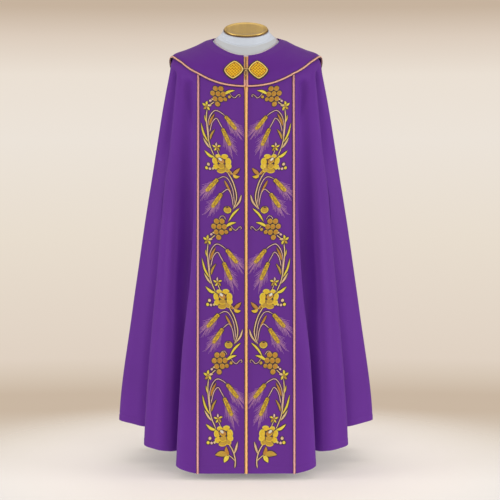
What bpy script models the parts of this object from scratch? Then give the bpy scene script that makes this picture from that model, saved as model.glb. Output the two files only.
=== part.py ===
"""Cope vestment on a limbless dress form.

Frame: metres, +Z up, the garment's front faces -Y, and the form stands on z = 0.
The cloth is one smooth surface over the shoulders that turns into hanging folds.
Stations run from the centre front (0) to the band's seam (1) and on to the centre back (2).
Levels run from the neckline (0) to the chest (1) and on down to the hem (2).
"""

import math
from collections import namedtuple

import bmesh
import bpy
from mathutils import Matrix, Vector

# Cloth and seams
CLOTH = 0.0018
COLLAR_CLOTH = 0.0020
CLEARANCE = 0.0003

# Piping cords
SIDE_CORD = 0.0033
CENTRE_CORD = 0.0037
COLLAR_CORD = 0.0029
CORD_RESOLUTION = 2
SIDE_CORD_TOP = 0.45
CENTRE_CORD_TOP = 0.04
CORD_STEPS = 12

# Fronts
SEAM_X = 0.158
FRONT_HEM_Y = -0.272
FRONT_HEM_Z = 0.022
FRONT_LAP_X = 0.0012
LAP_FROM = 0.82
LAP_OVER = 0.26
COLLAR_EDGE_X = 0.0078

# Smooth outline that the hem's rolls fill
HEM_HALF_WIDTH = 0.443
HEM_BACK_DEPTH = 0.380
HEM_SIDE_Z = 0.120
HEM_BACK_Z = 0.045
HEM_SETTLE = 1 / 3

# How the skirt spreads: above 1 it leaves the chest quickly and hangs steeply at the hem
SPREAD = 1.29

# Gap under the collar at the neckline
NECK_LIFT = 0.0010
LIFT_RUN = 0.16

# Clasp mounts on the collar
CLASP_X = 0.0402
CLASP_Z = 1.3435
CLASP_HALF_WIDTH = 0.0318
CLASP_HALF_HEIGHT = 0.0290
CLASP_LEAN = math.radians(5)
CLASP_ROUNDNESS = 1.35
CLASP_THICKNESS = 0.0032
CLASP_SEAT = 0.0006
CLASP_STEPS = 32
CLASP_SKEW = 0.4
HOOK_WIRE = 0.0013
EYE_HALF_WIDTH = 0.0052
EYE_HALF_HEIGHT = 0.0085
EYE_DROP = 0.0035
EYE_STEPS = 16
HOOK_OVERLAP = 0.78

# Rings of a clasp mount from its domed face round its edge to its flat back
Ring = namedtuple("Ring", "size height")
CLASP_RINGS = (
    Ring(0.30, CLASP_THICKNESS * 1.15),
    Ring(0.60, CLASP_THICKNESS * 1.10),
    Ring(0.82, CLASP_THICKNESS),
    Ring(0.93, CLASP_THICKNESS),
    Ring(1.00, CLASP_THICKNESS * 0.65),
    Ring(1.00, CLASP_SEAT),
    Ring(0.66, CLASP_SEAT),
    Ring(0.33, CLASP_SEAT),
)

# Dress form
CAP_RADIUS = 0.0735
CAP_THICKNESS = 0.0070
CAP_TILT = math.radians(22)
CAP_HEIGHT = 1.4823
POLE_RADIUS = 0.016
BASE_RADIUS = 0.165
BASE_THICKNESS = 0.008
TORSO_FLOOR = 0.760

# Rows of the cloth's shoulder part, from the neckline down to the chest
Yoke = namedtuple("Yoke", "half_width front_depth back_depth front_z side_z back_z seam_x")
YOKE = (
    Yoke(0.1130, 0.0920, 0.0720, 1.392, 1.449, 1.450, 0.1080),
    Yoke(0.1580, 0.1060, 0.0860, 1.371, 1.426, 1.428, 0.1360),
    Yoke(0.2020, 0.1160, 0.1010, 1.348, 1.4085, 1.402, 0.1530),
    Yoke(0.2405, 0.1230, 0.1120, 1.324, 1.3945, 1.374, SEAM_X),
    Yoke(0.2545, 0.1280, 0.1200, 1.298, 1.368, 1.345, SEAM_X),
    Yoke(0.2580, 0.1330, 0.1270, 1.270, 1.335, 1.312, SEAM_X),
)

# Hanging rolls of one side at the hem, from the seam to the centre back: where the roll's
# face, its outer edge and the root of the valley after it lie, the share of the chest it
# springs from, and how far down the skirt it begins
Roll = namedtuple("Roll", "face_x face_y face_z edge_x edge_y edge_z root_x root_y share begins")
ROLLS = (
    Roll(SEAM_X, FRONT_HEM_Y, FRONT_HEM_Z, 0.228, -0.228, 0.040, 0.190, -0.112, 0.015, 0.24),
    Roll(0.262, -0.150, 0.070, 0.346, -0.092, 0.082, 0.306, -0.022, 0.165, 0.04),
    Roll(0.374, 0.000, 0.130, 0.443, 0.062, 0.140, 0.360, 0.140, 0.350, 0.02),
    Roll(0.392, 0.188, 0.124, 0.362, 0.272, 0.116, 0.264, 0.244, 0.560, 0.05),
    Roll(0.248, 0.318, 0.084, 0.172, 0.372, 0.082, 0.106, 0.306, 0.780, 0.08),
    Roll(0.052, 0.352, 0.060, 0.000, 0.380, 0.052, 0.000, 0.380, 1.000, 0.10),
)
ROLL_STEPS = 3
ROOT_SHARE = 0.035
ROOT_RISE = 0.012
SEAM_SHARE = 0.08
SEAM_FADE = 0.4
BACK_SEAM_FLAT = 0.004

# Lower edge of the collar and hood: its height, and how far it lies off the mantle
CollarEdge = namedtuple("CollarEdge", "station height lift")
COLLAR_EDGE = (
    CollarEdge(0.00, 1.2925, 0.0040),
    CollarEdge(0.36, 1.2970, 0.0040),
    CollarEdge(0.66, 1.3100, 0.0045),
    CollarEdge(1.00, 1.3370, 0.0058),
    CollarEdge(1.15, 1.3720, 0.0062),
    CollarEdge(1.32, 1.3900, 0.0066),
    CollarEdge(1.42, 1.3790, 0.0064),
    CollarEdge(1.54, 1.3300, 0.0066),
    CollarEdge(1.68, 1.2350, 0.0070),
    CollarEdge(1.83, 1.1450, 0.0070),
    CollarEdge(2.00, 1.1050, 0.0070),
)

# Dress form's body, from the top of the neck down
Body = namedtuple("Body", "half_width front_depth back_depth front_z side_z back_z")
BODY = (
    Body(0.0780, 0.0720, 0.0720, 1.4523, 1.4812, 1.5100),
    Body(0.0815, 0.0745, 0.0718, 1.4360, 1.4735, 1.4950),
    Body(0.0890, 0.0790, 0.0710, 1.4210, 1.4650, 1.4800),
    Body(0.1000, 0.0838, 0.0702, 1.4050, 1.4560, 1.4630),
    Body(0.1105, 0.0885, 0.0692, 1.3890, 1.4463, 1.4475),
    Body(0.1555, 0.1020, 0.0832, 1.3685, 1.4230, 1.4252),
    Body(0.1990, 0.1113, 0.0980, 1.3460, 1.4040, 1.3980),
    Body(0.2250, 0.1120, 0.1050, 1.3180, 1.3800, 1.3660),
    Body(0.2320, 0.1100, 0.1070, 1.2700, 1.3300, 1.3180),
    Body(0.2150, 0.1060, 0.1030, 1.1900, 1.2200, 1.2100),
    Body(0.1700, 0.0980, 0.0880, 1.0300, 1.0350, 1.0300),
    Body(0.1880, 0.1080, 0.1000, 0.8900, 0.8900, 0.8900),
    Body(0.1820, 0.1040, 0.0960, 0.8000, 0.8000, 0.8000),
    Body(0.1640, 0.0900, 0.0820, 0.7700, 0.7700, 0.7700),
    Body(0.1400, 0.0720, 0.0640, TORSO_FLOOR, TORSO_FLOOR, TORSO_FLOOR),
)
BODY_SIDES = 32

# Mesh density of the cloth
YOKE_ROWS = 8
SKIRT_ROWS = 9
BAND_COLUMNS = 6
COLLAR_BAND_COLUMNS = 7
COLLAR_BACK_COLUMNS = 20
COLLAR_ROWS = 8


def cubic(knots, position):
    """Smooth curve through knots[1:-1]; the first and last knots only steer its ends."""
    last = len(knots) - 4
    index = min(int(position), last)
    t = position - index
    a, b, c, d = knots[index : index + 4]
    return (
        b
        + (c - a) * (0.5 * t)
        + (a * 2 - b * 5 + c * 4 - d) * (0.5 * t * t)
        + (b * 3 - a - c * 3 + d) * (0.5 * t * t * t)
    )


def column_values(rows, name, position):
    """One named column of a table, read smoothly between its rows."""
    values = [getattr(row, name) for row in rows]
    knots = [2 * values[0] - values[1], *values, 2 * values[-1] - values[-2]]
    return cubic(knots, position)


def row_at(rows, fraction):
    """A table's row at a fraction of its length, as the same kind of named row."""
    position = fraction * (len(rows) - 1)
    return type(rows[0])(*(column_values(rows, name, position) for name in rows[0]._fields))


def oval_point(row, turn):
    """Point of an oval row at an angle from the centre front."""
    depth = row.front_depth if turn < math.pi / 2 else row.back_depth
    cosine = math.cos(turn)
    slope = (row.front_z - row.back_z) / 2
    crown = (row.front_z + row.back_z) / 2 - row.side_z
    z = row.side_z + slope * cosine + crown * cosine * cosine
    return Vector((row.half_width * math.sin(turn), -depth * cosine, z))


HEM_FRONT_DEPTH = -FRONT_HEM_Y / math.sqrt(1 - (SEAM_X / HEM_HALF_WIDTH) ** 2)
HEM_OVAL = Yoke(
    HEM_HALF_WIDTH, HEM_FRONT_DEPTH, HEM_BACK_DEPTH, FRONT_HEM_Z, HEM_SIDE_Z, HEM_BACK_Z, SEAM_X
)


def turn_of(row, station):
    """Angle from the centre front of a station on an oval row."""
    seam = math.asin(row.seam_x / row.half_width)
    if station <= 1:
        return math.asin(station * row.seam_x / row.half_width)
    return seam + (math.pi - seam) * (station - 1)


def hem_outline(station):
    """The hem's smooth outline: straight across the bands, an oval round the rest."""
    if station <= 1:
        return Vector((station * SEAM_X, FRONT_HEM_Y, FRONT_HEM_Z))
    point = oval_point(HEM_OVAL, turn_of(HEM_OVAL, station))
    seam = oval_point(HEM_OVAL, turn_of(HEM_OVAL, 1))
    settle = max(0.0, 1 - (station - 1) / HEM_SETTLE)
    point.z += (FRONT_HEM_Z - seam.z) * settle
    return point


def smooth_body(station, level):
    """The cloth's surface with no folds, on the wearer's left (+X)."""
    if level <= 1:
        row = row_at(YOKE, level)
        return oval_point(row, turn_of(row, station))
    down = level - 1
    spread = 1 - (1 - down) ** SPREAD
    top = smooth_body(station, 1)
    hem = hem_outline(station)
    point = top.lerp(hem, spread)
    point.z = top.z + (hem.z - top.z) * down
    return point


def roll_knots():
    """Knots of the hem's serpentine as (x, y, z) with the share and the beginning of each."""
    places, shares, begins = [], [], []
    for index, roll in enumerate(ROLLS):
        last = index == len(ROLLS) - 1
        before = ROLLS[index - 1].share + ROOT_SHARE if index else 0.0
        face_share = (before + roll.share) / 2 if index else 0.0
        places.append(Vector((roll.face_x, roll.face_y, roll.face_z)))
        places.append(Vector((roll.edge_x, roll.edge_y, roll.edge_z)))
        shares += [face_share, roll.share]
        begins += [roll.begins, roll.begins]
        if not last:
            following = ROLLS[index + 1]
            z = (roll.edge_z + following.face_z) / 2 + ROOT_RISE
            places.append(Vector((roll.root_x, roll.root_y, z)))
            shares.append(roll.share + ROOT_SHARE)
            begins.append((roll.begins + following.begins) / 2)
    return places, shares, begins


PLACES, SHARES, BEGINS = roll_knots()
LAST_KNOT = len(PLACES) - 1


def mirrored(point):
    """The same point on the other side of the centre line."""
    return Vector((-point.x, point.y, point.z))


def folded_hem(knot):
    """The hem's serpentine at a knot position."""
    before = Vector((SEAM_X / 2, FRONT_HEM_Y, FRONT_HEM_Z))
    knots = [before, *PLACES, mirrored(PLACES[-2])]
    return cubic(knots, knot)


def reading(values, knot):
    """A plain list read smoothly at a knot position."""
    knots = [2 * values[0] - values[1], *values, 2 * values[-1] - values[-2]]
    return cubic(knots, knot)


def folded_body(knot, level):
    """The mantle's surface with its hanging rolls."""
    share = min(max(reading(SHARES, knot), 0.0), 1.0)
    point = smooth_body(1 + share, level)
    seam_gap = SIDE_CORD * min(1.0, level / SEAM_FADE) + 2 * CLEARANCE
    point.x += seam_gap * max(0.0, 1 - share / SEAM_SHARE)
    if level <= 1:
        return point
    begins = reading(BEGINS, knot)
    growth = max(0.0, (level - 1 - begins) / (1 - begins))
    growth = 1 - (1 - growth) ** ((1 + SPREAD) / 2)
    return point + (folded_hem(knot) - hem_outline(1 + share)) * growth


def lifted(surface, station, level, lift):
    """A point moved out from a surface along its normal."""
    step = 0.002
    across = surface(min(station + step, 2.0), level) - surface(max(station - step, 0.0), level)
    down = surface(station, min(level + step, 2.0)) - surface(station, max(level - step, 0.0))
    return surface(station, level) + down.cross(across).normalized() * lift


def level_at_height(station, height):
    """Level of the smooth body where a station passes a height."""
    low, high = 0.0, 2.0
    for _ in range(40):
        middle = (low + high) / 2
        if smooth_body(station, middle).z > height:
            low = middle
        else:
            high = middle
    return low


def front_station(x, level):
    """Station of a place x metres from the centre, on the bands."""
    return x / row_at(YOKE, min(level, 1.0)).seam_x


def front_level(x, height):
    """Level of a front place given by its x and its height."""
    low, high = 0.0, 2.0
    for _ in range(40):
        middle = (low + high) / 2
        if smooth_body(front_station(x, middle), middle).z > height:
            low = middle
        else:
            high = middle
    return low


def collar_edge(station):
    """The collar's lower edge at a station: its height and its lift off the mantle."""
    for before, after in zip(COLLAR_EDGE, COLLAR_EDGE[1:]):
        if station <= after.station:
            break
    index = COLLAR_EDGE.index(before)
    position = index + (station - before.station) / (after.station - before.station)
    rows = (COLLAR_EDGE[1], *COLLAR_EDGE, COLLAR_EDGE[-2])
    height = cubic([row.height for row in rows], position)
    lift = cubic([row.lift for row in rows], position)
    return height, lift


def collar_point(station, drop, extra=0.0):
    """Outer face of the collar: drop runs from the neckline (0) to its lower edge (1)."""
    height, edge_lift = collar_edge(station)
    level = level_at_height(station, height) * drop
    rise = min(1.0, drop / LIFT_RUN)
    lift = NECK_LIFT + (edge_lift - NECK_LIFT) * rise
    return lifted(smooth_body, station, level, COLLAR_CLOTH + lift + extra)


def collar_front(x, height, extra):
    """Place on the front of the collar, moved out by extra."""
    level = front_level(x, height)
    station = front_station(x, level)
    edge = level_at_height(station, collar_edge(station)[0])
    return collar_point(station, level / edge, extra)


def material(name, colour, roughness, metallic=0.0):
    """A plain finish."""
    made = bpy.data.materials.new(name)
    made.use_nodes = True
    shader = made.node_tree.nodes["Principled BSDF"]
    shader.inputs["Base Color"].default_value = (*colour, 1)
    shader.inputs["Roughness"].default_value = roughness
    shader.inputs["Metallic"].default_value = metallic
    made.diffuse_color = (*colour, 1)
    return made


def place(name, mesh_or_curve, finish):
    """Put a finished shape in the part's collection."""
    piece = bpy.data.objects.new(name, mesh_or_curve)
    mesh_or_curve.materials.append(finish)
    PART.objects.link(piece)
    piece.parent = CENTRE
    return piece


def sheet_mesh(name, rows, flip):
    """An open quad mesh through rows of points, facing out from the body."""
    mesh = bmesh.new()
    lines = [[mesh.verts.new(point) for point in row] for row in rows]
    for upper, lower in zip(lines, lines[1:]):
        for left in range(len(upper) - 1):
            quad = (upper[left], lower[left], lower[left + 1], upper[left + 1])
            mesh.faces.new(reversed(quad) if flip else quad)
    data = bpy.data.meshes.new(name)
    mesh.to_mesh(data)
    mesh.free()
    data.shade_smooth()
    return data


def cloth(name, rows, thickness, finish, flip=False):
    """A panel of cloth: its outer face, thickened inwards."""
    piece = place(name, sheet_mesh(name, rows, flip), finish)
    wall = piece.modifiers.new("wall", "SOLIDIFY")
    wall.thickness = thickness
    wall.offset = -1
    wall.use_even_offset = True
    wall.use_quality_normals = True
    return piece


def closed_body(name, rings, finish):
    """A solid through rings of points from top to bottom, capped at both ends."""
    mesh = bmesh.new()
    lines = [[mesh.verts.new(point) for point in ring] for ring in rings]
    for upper, lower in zip(lines, lines[1:]):
        for left in range(len(upper)):
            right = (left + 1) % len(upper)
            mesh.faces.new((upper[left], lower[left], lower[right], upper[right]))
    mesh.faces.new(lines[0])
    mesh.faces.new(reversed(lines[-1]))
    bmesh.ops.recalc_face_normals(mesh, faces=mesh.faces)
    data = bpy.data.meshes.new(name)
    mesh.to_mesh(data)
    mesh.free()
    data.shade_smooth()
    return place(name, data, finish)


def cord(name, path, radius, finish, cyclic=False):
    """A piping cord along a path."""
    curve = bpy.data.curves.new(name, "CURVE")
    curve.dimensions = "3D"
    curve.bevel_depth = radius
    curve.bevel_resolution = CORD_RESOLUTION
    curve.use_fill_caps = True
    line = curve.splines.new("POLY")
    line.points.add(len(path) - 1)
    for point, target in zip(path, line.points):
        target.co = (*point, 1)
    line.use_cyclic_u = cyclic
    return place(name, curve, finish)


def levels():
    """Levels of the cloth's rows, from the neckline to the hem."""
    yoke = [row / YOKE_ROWS for row in range(YOKE_ROWS)]
    skirt = [1 + row / SKIRT_ROWS for row in range(SKIRT_ROWS + 1)]
    return yoke + skirt


def closing(level):
    """How far the fronts have closed: 0 at the open neck, 1 where the cords lap."""
    return min(max((level - LAP_FROM) / LAP_OVER, 0.0), 1.0)


def centre_cord_x(level):
    """Distance of a front edge's cord from the centre line."""
    apart = CENTRE_CORD + CLEARANCE
    return apart + (FRONT_LAP_X - apart) * closing(level)


def side_pieces(side, finishes):
    """Front band, mantle half and the two piping cords of one side."""
    name = "left" if side > 0 else "right"

    def own(point):
        return point if side > 0 else mirrored(point)

    band_rows, mantle_rows = [], []
    for level in levels():
        inner = centre_cord_x(level) + CENTRE_CORD + 3 * CLEARANCE
        outer = row_at(YOKE, min(level, 1.0)).seam_x - SIDE_CORD - CLEARANCE
        stations = [
            front_station(inner + (outer - inner) * step / BAND_COLUMNS, level)
            for step in range(BAND_COLUMNS + 1)
        ]
        band_rows.append([own(smooth_body(station, level)) for station in stations])
        knots = [step / ROLL_STEPS for step in range(LAST_KNOT * ROLL_STEPS + 1)]
        row = [own(folded_body(knot, level)) for knot in knots]
        row.insert(-1, row[-1] + Vector((side * BACK_SEAM_FLAT, 0.0, 0.0)))
        row[-1].x = side * CLEARANCE / 2
        mantle_rows.append(row)
    cloth(f"front_band_{name}", band_rows, CLOTH, finishes["band"], flip=side < 0)
    cloth(f"mantle_{name}", mantle_rows, CLOTH, finishes["mantle"], flip=side < 0)

    upper = [SIDE_CORD_TOP + (1 - SIDE_CORD_TOP) * step / 3 for step in range(3)]
    side_levels = upper + [1 + step / CORD_STEPS for step in range(CORD_STEPS + 1)]
    seam = [own(lifted(smooth_body, 1.0, level, SIDE_CORD - CLOTH)) for level in side_levels]
    cord(f"piping_side_{name}", seam, SIDE_CORD, finishes["side_piping"])


def centre_piping(side, finish):
    """The cord on one front edge; lower down the left one lies over the right one."""
    name = "left" if side > 0 else "right"
    path = []
    apart = [CENTRE_CORD_TOP + (LAP_FROM - CENTRE_CORD_TOP) * step / 4 for step in range(4)]
    lapping = [LAP_FROM + LAP_OVER * step / 6 for step in range(6)]
    lapped = [1 + step / CORD_STEPS for step in range(1, CORD_STEPS + 1)]
    for level in apart + lapping + lapped:
        x = centre_cord_x(level)
        under = math.sqrt(max(0.0, (2 * CENTRE_CORD + 3 * CLEARANCE) ** 2 - 4 * x * x))
        forward = CENTRE_CORD - CLOTH
        offset = Vector((side * x, -forward if side > 0 else under - forward, 0.0))
        path.append(smooth_body(0.0, level) + offset)
    cord(f"piping_centre_{name}", path, CENTRE_CORD, finish)


def collar_stations():
    """Stations of the collar's columns from its front edge to the centre back."""
    first = COLLAR_EDGE_X / SEAM_X
    front = [first + (1 - first) * step / COLLAR_BAND_COLUMNS for step in range(COLLAR_BAND_COLUMNS)]
    back = [1 + step / COLLAR_BACK_COLUMNS for step in range(COLLAR_BACK_COLUMNS + 1)]
    return front + back


def all_round(function):
    """A row from the right front edge round the back to the left front edge."""
    half = [function(station) for station in collar_stations()]
    return half + [mirrored(point) for point in reversed(half[:-1])]


def hood_collar(finish, piping):
    """Cape collar with its rounded hood, and the cord along its lower edge."""
    rows = []
    for step in range(COLLAR_ROWS + 1):
        drop = step / COLLAR_ROWS
        row = all_round(lambda station: collar_point(station, drop))
        for point in (row[0], row[-1]):
            point.x = math.copysign(COLLAR_EDGE_X, point.x)
        rows.append(row)
    cloth("hood_collar", rows, COLLAR_CLOTH, finish)

    edge = rows[-1]
    path = []
    for index, inner in enumerate(rows[-2]):
        along = edge[min(index + 1, len(edge) - 1)] - edge[max(index - 1, 0)]
        fall = edge[index] - inner
        outwards = (fall - fall.project(along)).normalized()
        path.append(edge[index] + outwards * (COLLAR_CORD + 3 * CLEARANCE))
    cord("piping_collar", path, COLLAR_CORD, piping)


def clasp(side, finish):
    """Rounded diamond mount, domed, lying on the collar."""
    name = "left" if side > 0 else "right"
    rings = []
    for ring in CLASP_RINGS:
        points = []
        for step in range(CLASP_STEPS):
            turn = 2 * math.pi * step / CLASP_STEPS
            reach = abs(math.cos(turn)) ** CLASP_ROUNDNESS + abs(math.sin(turn)) ** CLASP_ROUNDNESS
            reach = ring.size * reach ** (-1 / CLASP_ROUNDNESS)
            across = CLASP_HALF_WIDTH * reach * math.cos(turn)
            up = CLASP_HALF_HEIGHT * reach * math.sin(turn)
            x = CLASP_X + across * math.cos(CLASP_LEAN) - up * math.sin(CLASP_LEAN)
            z = CLASP_Z - CLASP_SKEW * across * math.sin(CLASP_LEAN) + up * math.cos(CLASP_LEAN)
            point = collar_front(x, z, ring.height)
            points.append(point if side > 0 else mirrored(point))
        rings.append(points)
    closed_body(f"clasp_{name}", rings, finish)


def hook_and_eye(finish):
    """Wire hook across the gap between the mounts, and the eye that hangs under it."""
    top = CLASP_THICKNESS * 1.05 + HOOK_WIRE + CLEARANCE
    reach = CLASP_X - CLASP_HALF_WIDTH * HOOK_OVERLAP
    left = collar_front(reach, CLASP_Z + 0.001, top)
    bow = Vector((0.0, left.y - 0.0012, left.z + 0.0010))
    cord("clasp_hook", [mirrored(left), bow, left], HOOK_WIRE, finish)
    path = []
    for step in range(EYE_STEPS):
        turn = 2 * math.pi * step / EYE_STEPS
        narrowing = 1 - 0.35 * math.sin(turn)
        x = EYE_HALF_WIDTH * math.cos(turn) * narrowing
        z = left.z - EYE_DROP - EYE_HALF_HEIGHT * (1 - math.sin(turn))
        cord_face = smooth_body(0.0, front_level(0.0, z)).y - 2 * CENTRE_CORD + CLOTH
        path.append(Vector((x, cord_face - HOOK_WIRE - 2 * CLEARANCE, z)))
    cord("clasp_eye", path, HOOK_WIRE, finish, cyclic=True)


def dress_form(finishes):
    """Torso with its neck, the slanted cap, the pole and the base."""
    rings = []
    for row in BODY:
        ring = []
        for step in range(BODY_SIDES):
            turn = 2 * math.pi * step / BODY_SIDES
            if turn <= math.pi:
                ring.append(oval_point(row, turn))
            else:
                ring.append(mirrored(oval_point(row, 2 * math.pi - turn)))
        rings.append(ring)
    closed_body("form_torso", rings, finishes["jersey"])

    bpy.ops.mesh.primitive_cylinder_add(vertices=40, radius=CAP_RADIUS, depth=CAP_THICKNESS)
    cap = bpy.context.object
    cap.data.transform(Matrix.Rotation(CAP_TILT, 4, "X"))
    normal = Vector((0.0, -math.sin(CAP_TILT), math.cos(CAP_TILT)))
    cap.location = Vector((0.0, 0.0, CAP_HEIGHT)) + normal * (CAP_THICKNESS / 2)
    adopt(cap, "form_neck_cap", finishes["cap"])
    rim = cap.modifiers.new("rim", "BEVEL")
    rim.width = 0.0012
    rim.segments = 1

    length = TORSO_FLOOR - BASE_THICKNESS - 2 * CLEARANCE
    bpy.ops.mesh.primitive_cylinder_add(vertices=24, radius=POLE_RADIUS, depth=length)
    pole = bpy.context.object
    pole.location.z = BASE_THICKNESS + CLEARANCE + length / 2
    adopt(pole, "form_pole", finishes["stand"])

    bpy.ops.mesh.primitive_cylinder_add(vertices=48, radius=BASE_RADIUS, depth=BASE_THICKNESS)
    base = bpy.context.object
    base.location.z = BASE_THICKNESS / 2
    adopt(base, "form_base", finishes["stand"])
    edge = base.modifiers.new("edge", "BEVEL")
    edge.width = 0.002
    edge.segments = 1


def adopt(piece, name, finish):
    """Name a new primitive, give it its finish and move it to the part's collection."""
    piece.name = name
    piece.data.name = name
    piece.data.materials.append(finish)
    piece.data.shade_smooth()
    piece.data.set_sharp_from_angle(angle=math.radians(40))
    for collection in list(piece.users_collection):
        collection.objects.unlink(piece)
    PART.objects.link(piece)
    piece.parent = CENTRE


for old in list(bpy.data.objects):
    bpy.data.objects.remove(old)
PART = bpy.data.collections.new("cope_vestment_on_dress_form")
bpy.context.scene.collection.children.link(PART)
CENTRE = bpy.data.objects.new("centre_of_footprint", None)
CENTRE.location.y = -(HEM_BACK_DEPTH + FRONT_HEM_Y - 2 * CENTRE_CORD + CLOTH) / 2
PART.objects.link(CENTRE)
bpy.context.view_layer.update()

FINISHES = {
    "mantle": material("mantle_cloth", (0.130, 0.031, 0.238), 0.60),
    "band": material("band_cloth", (0.132, 0.032, 0.242), 0.60),
    "collar": material("collar_cloth", (0.136, 0.033, 0.246), 0.60),
    "side_piping": material("side_piping_satin", (0.700, 0.330, 0.230), 0.40),
    "centre_piping": material("centre_piping_satin", (0.760, 0.400, 0.120), 0.40),
    "collar_piping": material("collar_piping_satin", (0.720, 0.350, 0.220), 0.40),
    "clasp": material("clasp_gold_work", (0.800, 0.450, 0.050), 0.35, 0.6),
    "hook": material("hook_metal", (0.650, 0.480, 0.200), 0.30, 1.0),
    "jersey": material("form_jersey", (0.780, 0.810, 0.840), 0.80),
    "cap": material("form_cap_brass", (0.600, 0.420, 0.180), 0.35, 0.8),
    "stand": material("form_stand_enamel", (0.720, 0.690, 0.640), 0.40),
}

for wearer_side in (1, -1):
    side_pieces(wearer_side, FINISHES)
    centre_piping(wearer_side, FINISHES["centre_piping"])
    clasp(wearer_side, FINISHES["clasp"])
hood_collar(FINISHES["collar"], FINISHES["collar_piping"])
hook_and_eye(FINISHES["hook"])
dress_form(FINISHES)
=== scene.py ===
import math
from collections import namedtuple

import bmesh
import bpy
import numpy as np
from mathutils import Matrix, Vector


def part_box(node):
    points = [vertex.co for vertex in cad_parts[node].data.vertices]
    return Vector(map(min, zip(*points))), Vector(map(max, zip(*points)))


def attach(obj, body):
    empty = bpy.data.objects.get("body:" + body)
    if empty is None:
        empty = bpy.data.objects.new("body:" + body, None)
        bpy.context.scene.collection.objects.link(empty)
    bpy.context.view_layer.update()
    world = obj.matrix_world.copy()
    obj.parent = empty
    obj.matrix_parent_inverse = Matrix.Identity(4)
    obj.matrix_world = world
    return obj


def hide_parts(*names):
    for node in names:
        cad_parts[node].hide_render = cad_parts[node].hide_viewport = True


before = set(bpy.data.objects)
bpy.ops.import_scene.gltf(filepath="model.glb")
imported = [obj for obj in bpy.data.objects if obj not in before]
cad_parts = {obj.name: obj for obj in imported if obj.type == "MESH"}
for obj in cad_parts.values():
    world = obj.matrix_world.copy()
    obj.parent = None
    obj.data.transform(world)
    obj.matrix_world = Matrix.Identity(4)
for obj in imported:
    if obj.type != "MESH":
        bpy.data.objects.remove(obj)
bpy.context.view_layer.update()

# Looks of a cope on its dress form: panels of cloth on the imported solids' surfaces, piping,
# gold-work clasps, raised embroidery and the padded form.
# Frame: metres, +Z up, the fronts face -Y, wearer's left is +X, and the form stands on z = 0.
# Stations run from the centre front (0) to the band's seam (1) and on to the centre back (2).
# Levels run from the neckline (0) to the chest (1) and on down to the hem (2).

SIDES = {1: "left", -1: "right"}
pole_low, pole_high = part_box("form_pole")
FORM_Y = (pole_low.y + pole_high.y) / 2

# ---------------------------------------------------------------- the cloth's surface
CLOTH = 0.0018
COLLAR_CLOTH = 0.0020
CLEARANCE = 0.0003
SIDE_CORD = 0.0033
CENTRE_CORD = 0.0037
COLLAR_CORD = 0.0029
SEAM_X = 0.158
FRONT_HEM_Y = -0.272
FRONT_HEM_Z = 0.022
FRONT_LAP_X = 0.0012
LAP_FROM = 0.82
LAP_OVER = 0.26
COLLAR_EDGE_X = 0.0078
HEM_HALF_WIDTH = 0.443
HEM_BACK_DEPTH = 0.380
HEM_SIDE_Z = 0.120
HEM_BACK_Z = 0.045
SPREAD = 1.29
NECK_LIFT = 0.0010
LIFT_RUN = 0.16
SEAM_SHARE = 0.08
SEAM_FADE = 0.4
ROOT_SHARE = 0.035
ROOT_RISE = 0.012
HEM_SETTLE = 3
SLOPE_STEP = 0.002
HALVINGS = 24

OVAL_FIELDS = "half_width front_depth back_depth front_z side_z back_z seam_x"
Oval = namedtuple("Oval", OVAL_FIELDS, defaults=(0.0,))
YOKE = (
    (0.1130, 0.0920, 0.0720, 1.392, 1.449, 1.450, 0.1080),
    (0.1580, 0.1060, 0.0860, 1.371, 1.426, 1.428, 0.1360),
    (0.2020, 0.1160, 0.1010, 1.348, 1.4085, 1.402, 0.1530),
    (0.2405, 0.1230, 0.1120, 1.324, 1.3945, 1.374, SEAM_X),
    (0.2545, 0.1280, 0.1200, 1.298, 1.368, 1.345, SEAM_X),
    (0.2580, 0.1330, 0.1270, 1.270, 1.335, 1.312, SEAM_X),
)
Roll = namedtuple("Roll", "face edge root share begins")
ROLLS = [
    Roll(*(Vector(place) for place in places), share, begins)
    for *places, share, begins in (
        ((SEAM_X, FRONT_HEM_Y, FRONT_HEM_Z), (0.228, -0.228, 0.040), (0.190, -0.112), 0.015, 0.24),
        ((0.262, -0.150, 0.070), (0.346, -0.092, 0.082), (0.306, -0.022), 0.165, 0.04),
        ((0.374, 0.000, 0.130), (0.443, 0.062, 0.140), (0.360, 0.140), 0.350, 0.02),
        ((0.392, 0.188, 0.124), (0.362, 0.272, 0.116), (0.264, 0.244), 0.560, 0.05),
        ((0.248, 0.318, 0.084), (0.172, 0.372, 0.082), (0.106, 0.306), 0.780, 0.08),
        ((0.052, 0.352, 0.060), (0.000, 0.380, 0.052), (0.000, 0.380), 1.000, 0.10),
    )
]
# The collar's lower edge: station, height, and its lift off the mantle
COLLAR_EDGE = (
    (0.00, 1.2925, 0.0040),
    (0.36, 1.2970, 0.0040),
    (0.66, 1.3100, 0.0045),
    (1.00, 1.3370, 0.0058),
    (1.15, 1.3720, 0.0062),
    (1.32, 1.3900, 0.0066),
    (1.42, 1.3790, 0.0064),
    (1.54, 1.3300, 0.0066),
    (1.68, 1.2350, 0.0070),
    (1.83, 1.1450, 0.0070),
    (2.00, 1.1050, 0.0070),
)


def clamped(value):
    """A number kept between 0 and 1."""
    return min(max(value, 0.0), 1.0)


def cubic(knots, position):
    """Smooth curve through knots[1:-1]; the first and last knots only steer its ends."""
    index = min(int(position), len(knots) - 4)
    t = position - index
    a, b, c, d = knots[index : index + 4]
    bend = (a * 2 - b * 5 + c * 4 - d) * (0.5 * t * t) + (b * 3 - a - c * 3 + d) * (0.5 * t * t * t)
    return b + (c - a) * (0.5 * t) + bend


def reading(values, position):
    """A plain list read smoothly between its entries."""
    return cubic([2 * values[0] - values[1], *values, 2 * values[-1] - values[-2]], position)


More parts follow.
